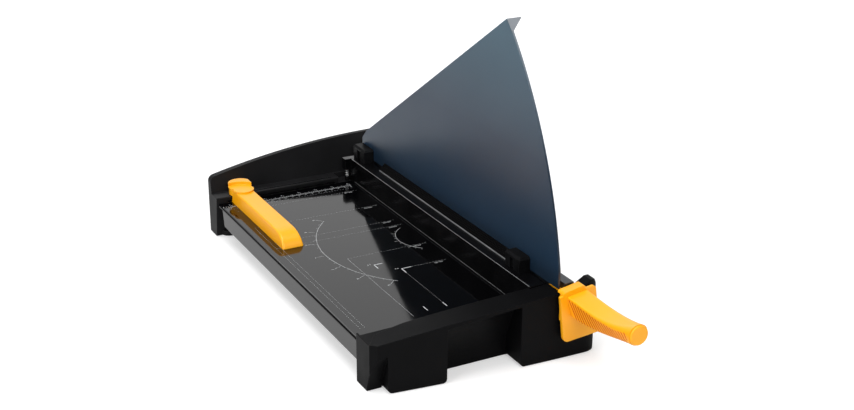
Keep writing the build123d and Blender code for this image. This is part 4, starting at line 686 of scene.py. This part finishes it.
# Painted highlight and wear: brighter edges
tone = add(tree, "Mix", {"Factor": edge, 6: linear("#5c5e61"), 7: linear("#909295")}, data_type="RGBA")
height = add(tree, "Bump", {"Height": blast.outputs[0], "Distance": 0.03 * MM, "Normal": edge_normal})
shader = add(tree, "BsdfPrincipled", {"Base Color": tone.outputs[2], "Metallic": 1.0,
                                      "Roughness": rough.outputs[0], "Normal": height.outputs[0]})
add(tree, "OutputMaterial", {"Surface": shader.outputs[0]})
dress(arm_metal, "arm_bar")

bronze, tree = new_material("sintered_bronze")
place = add(tree, "TexCoord").outputs["Object"]
pores = add(tree, "TexNoise", {"Vector": place, "Scale": 1 / (0.5 * MM), "Detail": 3.0})
tone = add(tree, "Mix", {"Factor": pores.outputs[0], 6: linear("#7c5a32"), 7: linear("#b98d55")},
           data_type="RGBA")
height = add(tree, "Bump", {"Height": pores.outputs[0], "Distance": 0.03 * MM})
shader = add(tree, "BsdfPrincipled", {"Base Color": tone.outputs[2], "Metallic": 1.0, "Roughness": 0.45,
                                      "Normal": height.outputs[0]})
add(tree, "OutputMaterial", {"Surface": shader.outputs[0]})
dress(bronze, "pivot_bush")

# ---- Handle and gauge ------------------------------------------------------------------------------------
# Yellow ABS mouldings with a fine grain and a soft sheen. Handle, grip and end cap ride on the arm, and the
# side gauge and its knob slide along the rear ledge.
yellow_abs = plastic("yellow_moulded_abs", "#ffac04", "#ffbe24", grain=0.5 * MM, roughness=0.34,
                     specular=0.5, radius=1.0 * MM, distance=0.012 * MM)
dress(yellow_abs, "handle", "handle_grip", "handle_end_cap", "gauge_bar", "gauge_knob")

# Painted shade: slanting strips of dull dark orange run down the left side of the grip, for the shade in its
# grooves. Each follows the surface of the moulding. All sizes are in millimetres.
grip_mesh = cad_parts["handle_grip"].data
skin = BVHTree.FromPolygons([v.co for v in grip_mesh.vertices],
                            [list(f.vertices) for f in grip_mesh.polygons])
rib_rows = 20
rib_pitch = 5.3
rib_first = -67.5
rib_lean = 9.0
rib_width = 2.1
rib_proud = 0.35
rib_points = 10
rib_limit = -175.0
ray_start = -60.0
# Along the grip: y, upper and lower end of a rib over the board
rib_ends = [(-64.0, 30.0, 6.5), (-90.2, 28.0, 8.5), (-119.9, 27.0, 12.5), (-149.5, 29.5, 19.0),
            (-178.0, 38.0, 26.0)]


def between(y, column):
    """Value of a column of rib_ends at this y."""
    for (near, *a), (far, *b) in zip(rib_ends, rib_ends[1:]):
        if near >= y >= far:
            share = (near - y) / (near - far)
            return a[column] + (b[column] - a[column]) * share


ribs = bmesh.new()
for row in range(rib_rows):
    rows = []
    for i in range(rib_points):
        share = i / (rib_points - 1)
        y = rib_first - row * rib_pitch - rib_lean * share
        if y < rib_limit:
            break
        top = between(y, 0)
        z = board_z + top + (between(y, 1) - top) * share
        hit, normal = skin.ray_cast(Vector((ray_start * MM, y * MM, z * MM)), Vector((1, 0, 0)))[:2]
        if hit is None:
            break
        side = Vector((0, rib_width / 2 * MM, 0))
        lift = normal * rib_proud * MM
        rows.append([ribs.verts.new(hit - side - lift), ribs.verts.new(hit - side * 0.6 + lift),
                     ribs.verts.new(hit + side * 0.6 + lift), ribs.verts.new(hit + side - lift)])
    skin_rings(ribs, rows)
    if len(rows) > 1:
        ribs.faces.new(rows[0])
        ribs.faces.new(list(reversed(rows[-1])))
grip_rows = to_object(ribs, "grip_groove_shade")
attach(grip_rows, "arm")
# Painted shade: the strips take the dark orange of the shaded grooves
groove_shade_paint = plastic("painted_groove_shade_orange", "#cf4a04", "#e2640f", grain=0.5 * MM, roughness=0.6,
                      specular=0.3, radius=0.3 * MM, distance=0.01 * MM)
dress(groove_shade_paint, grip_rows)
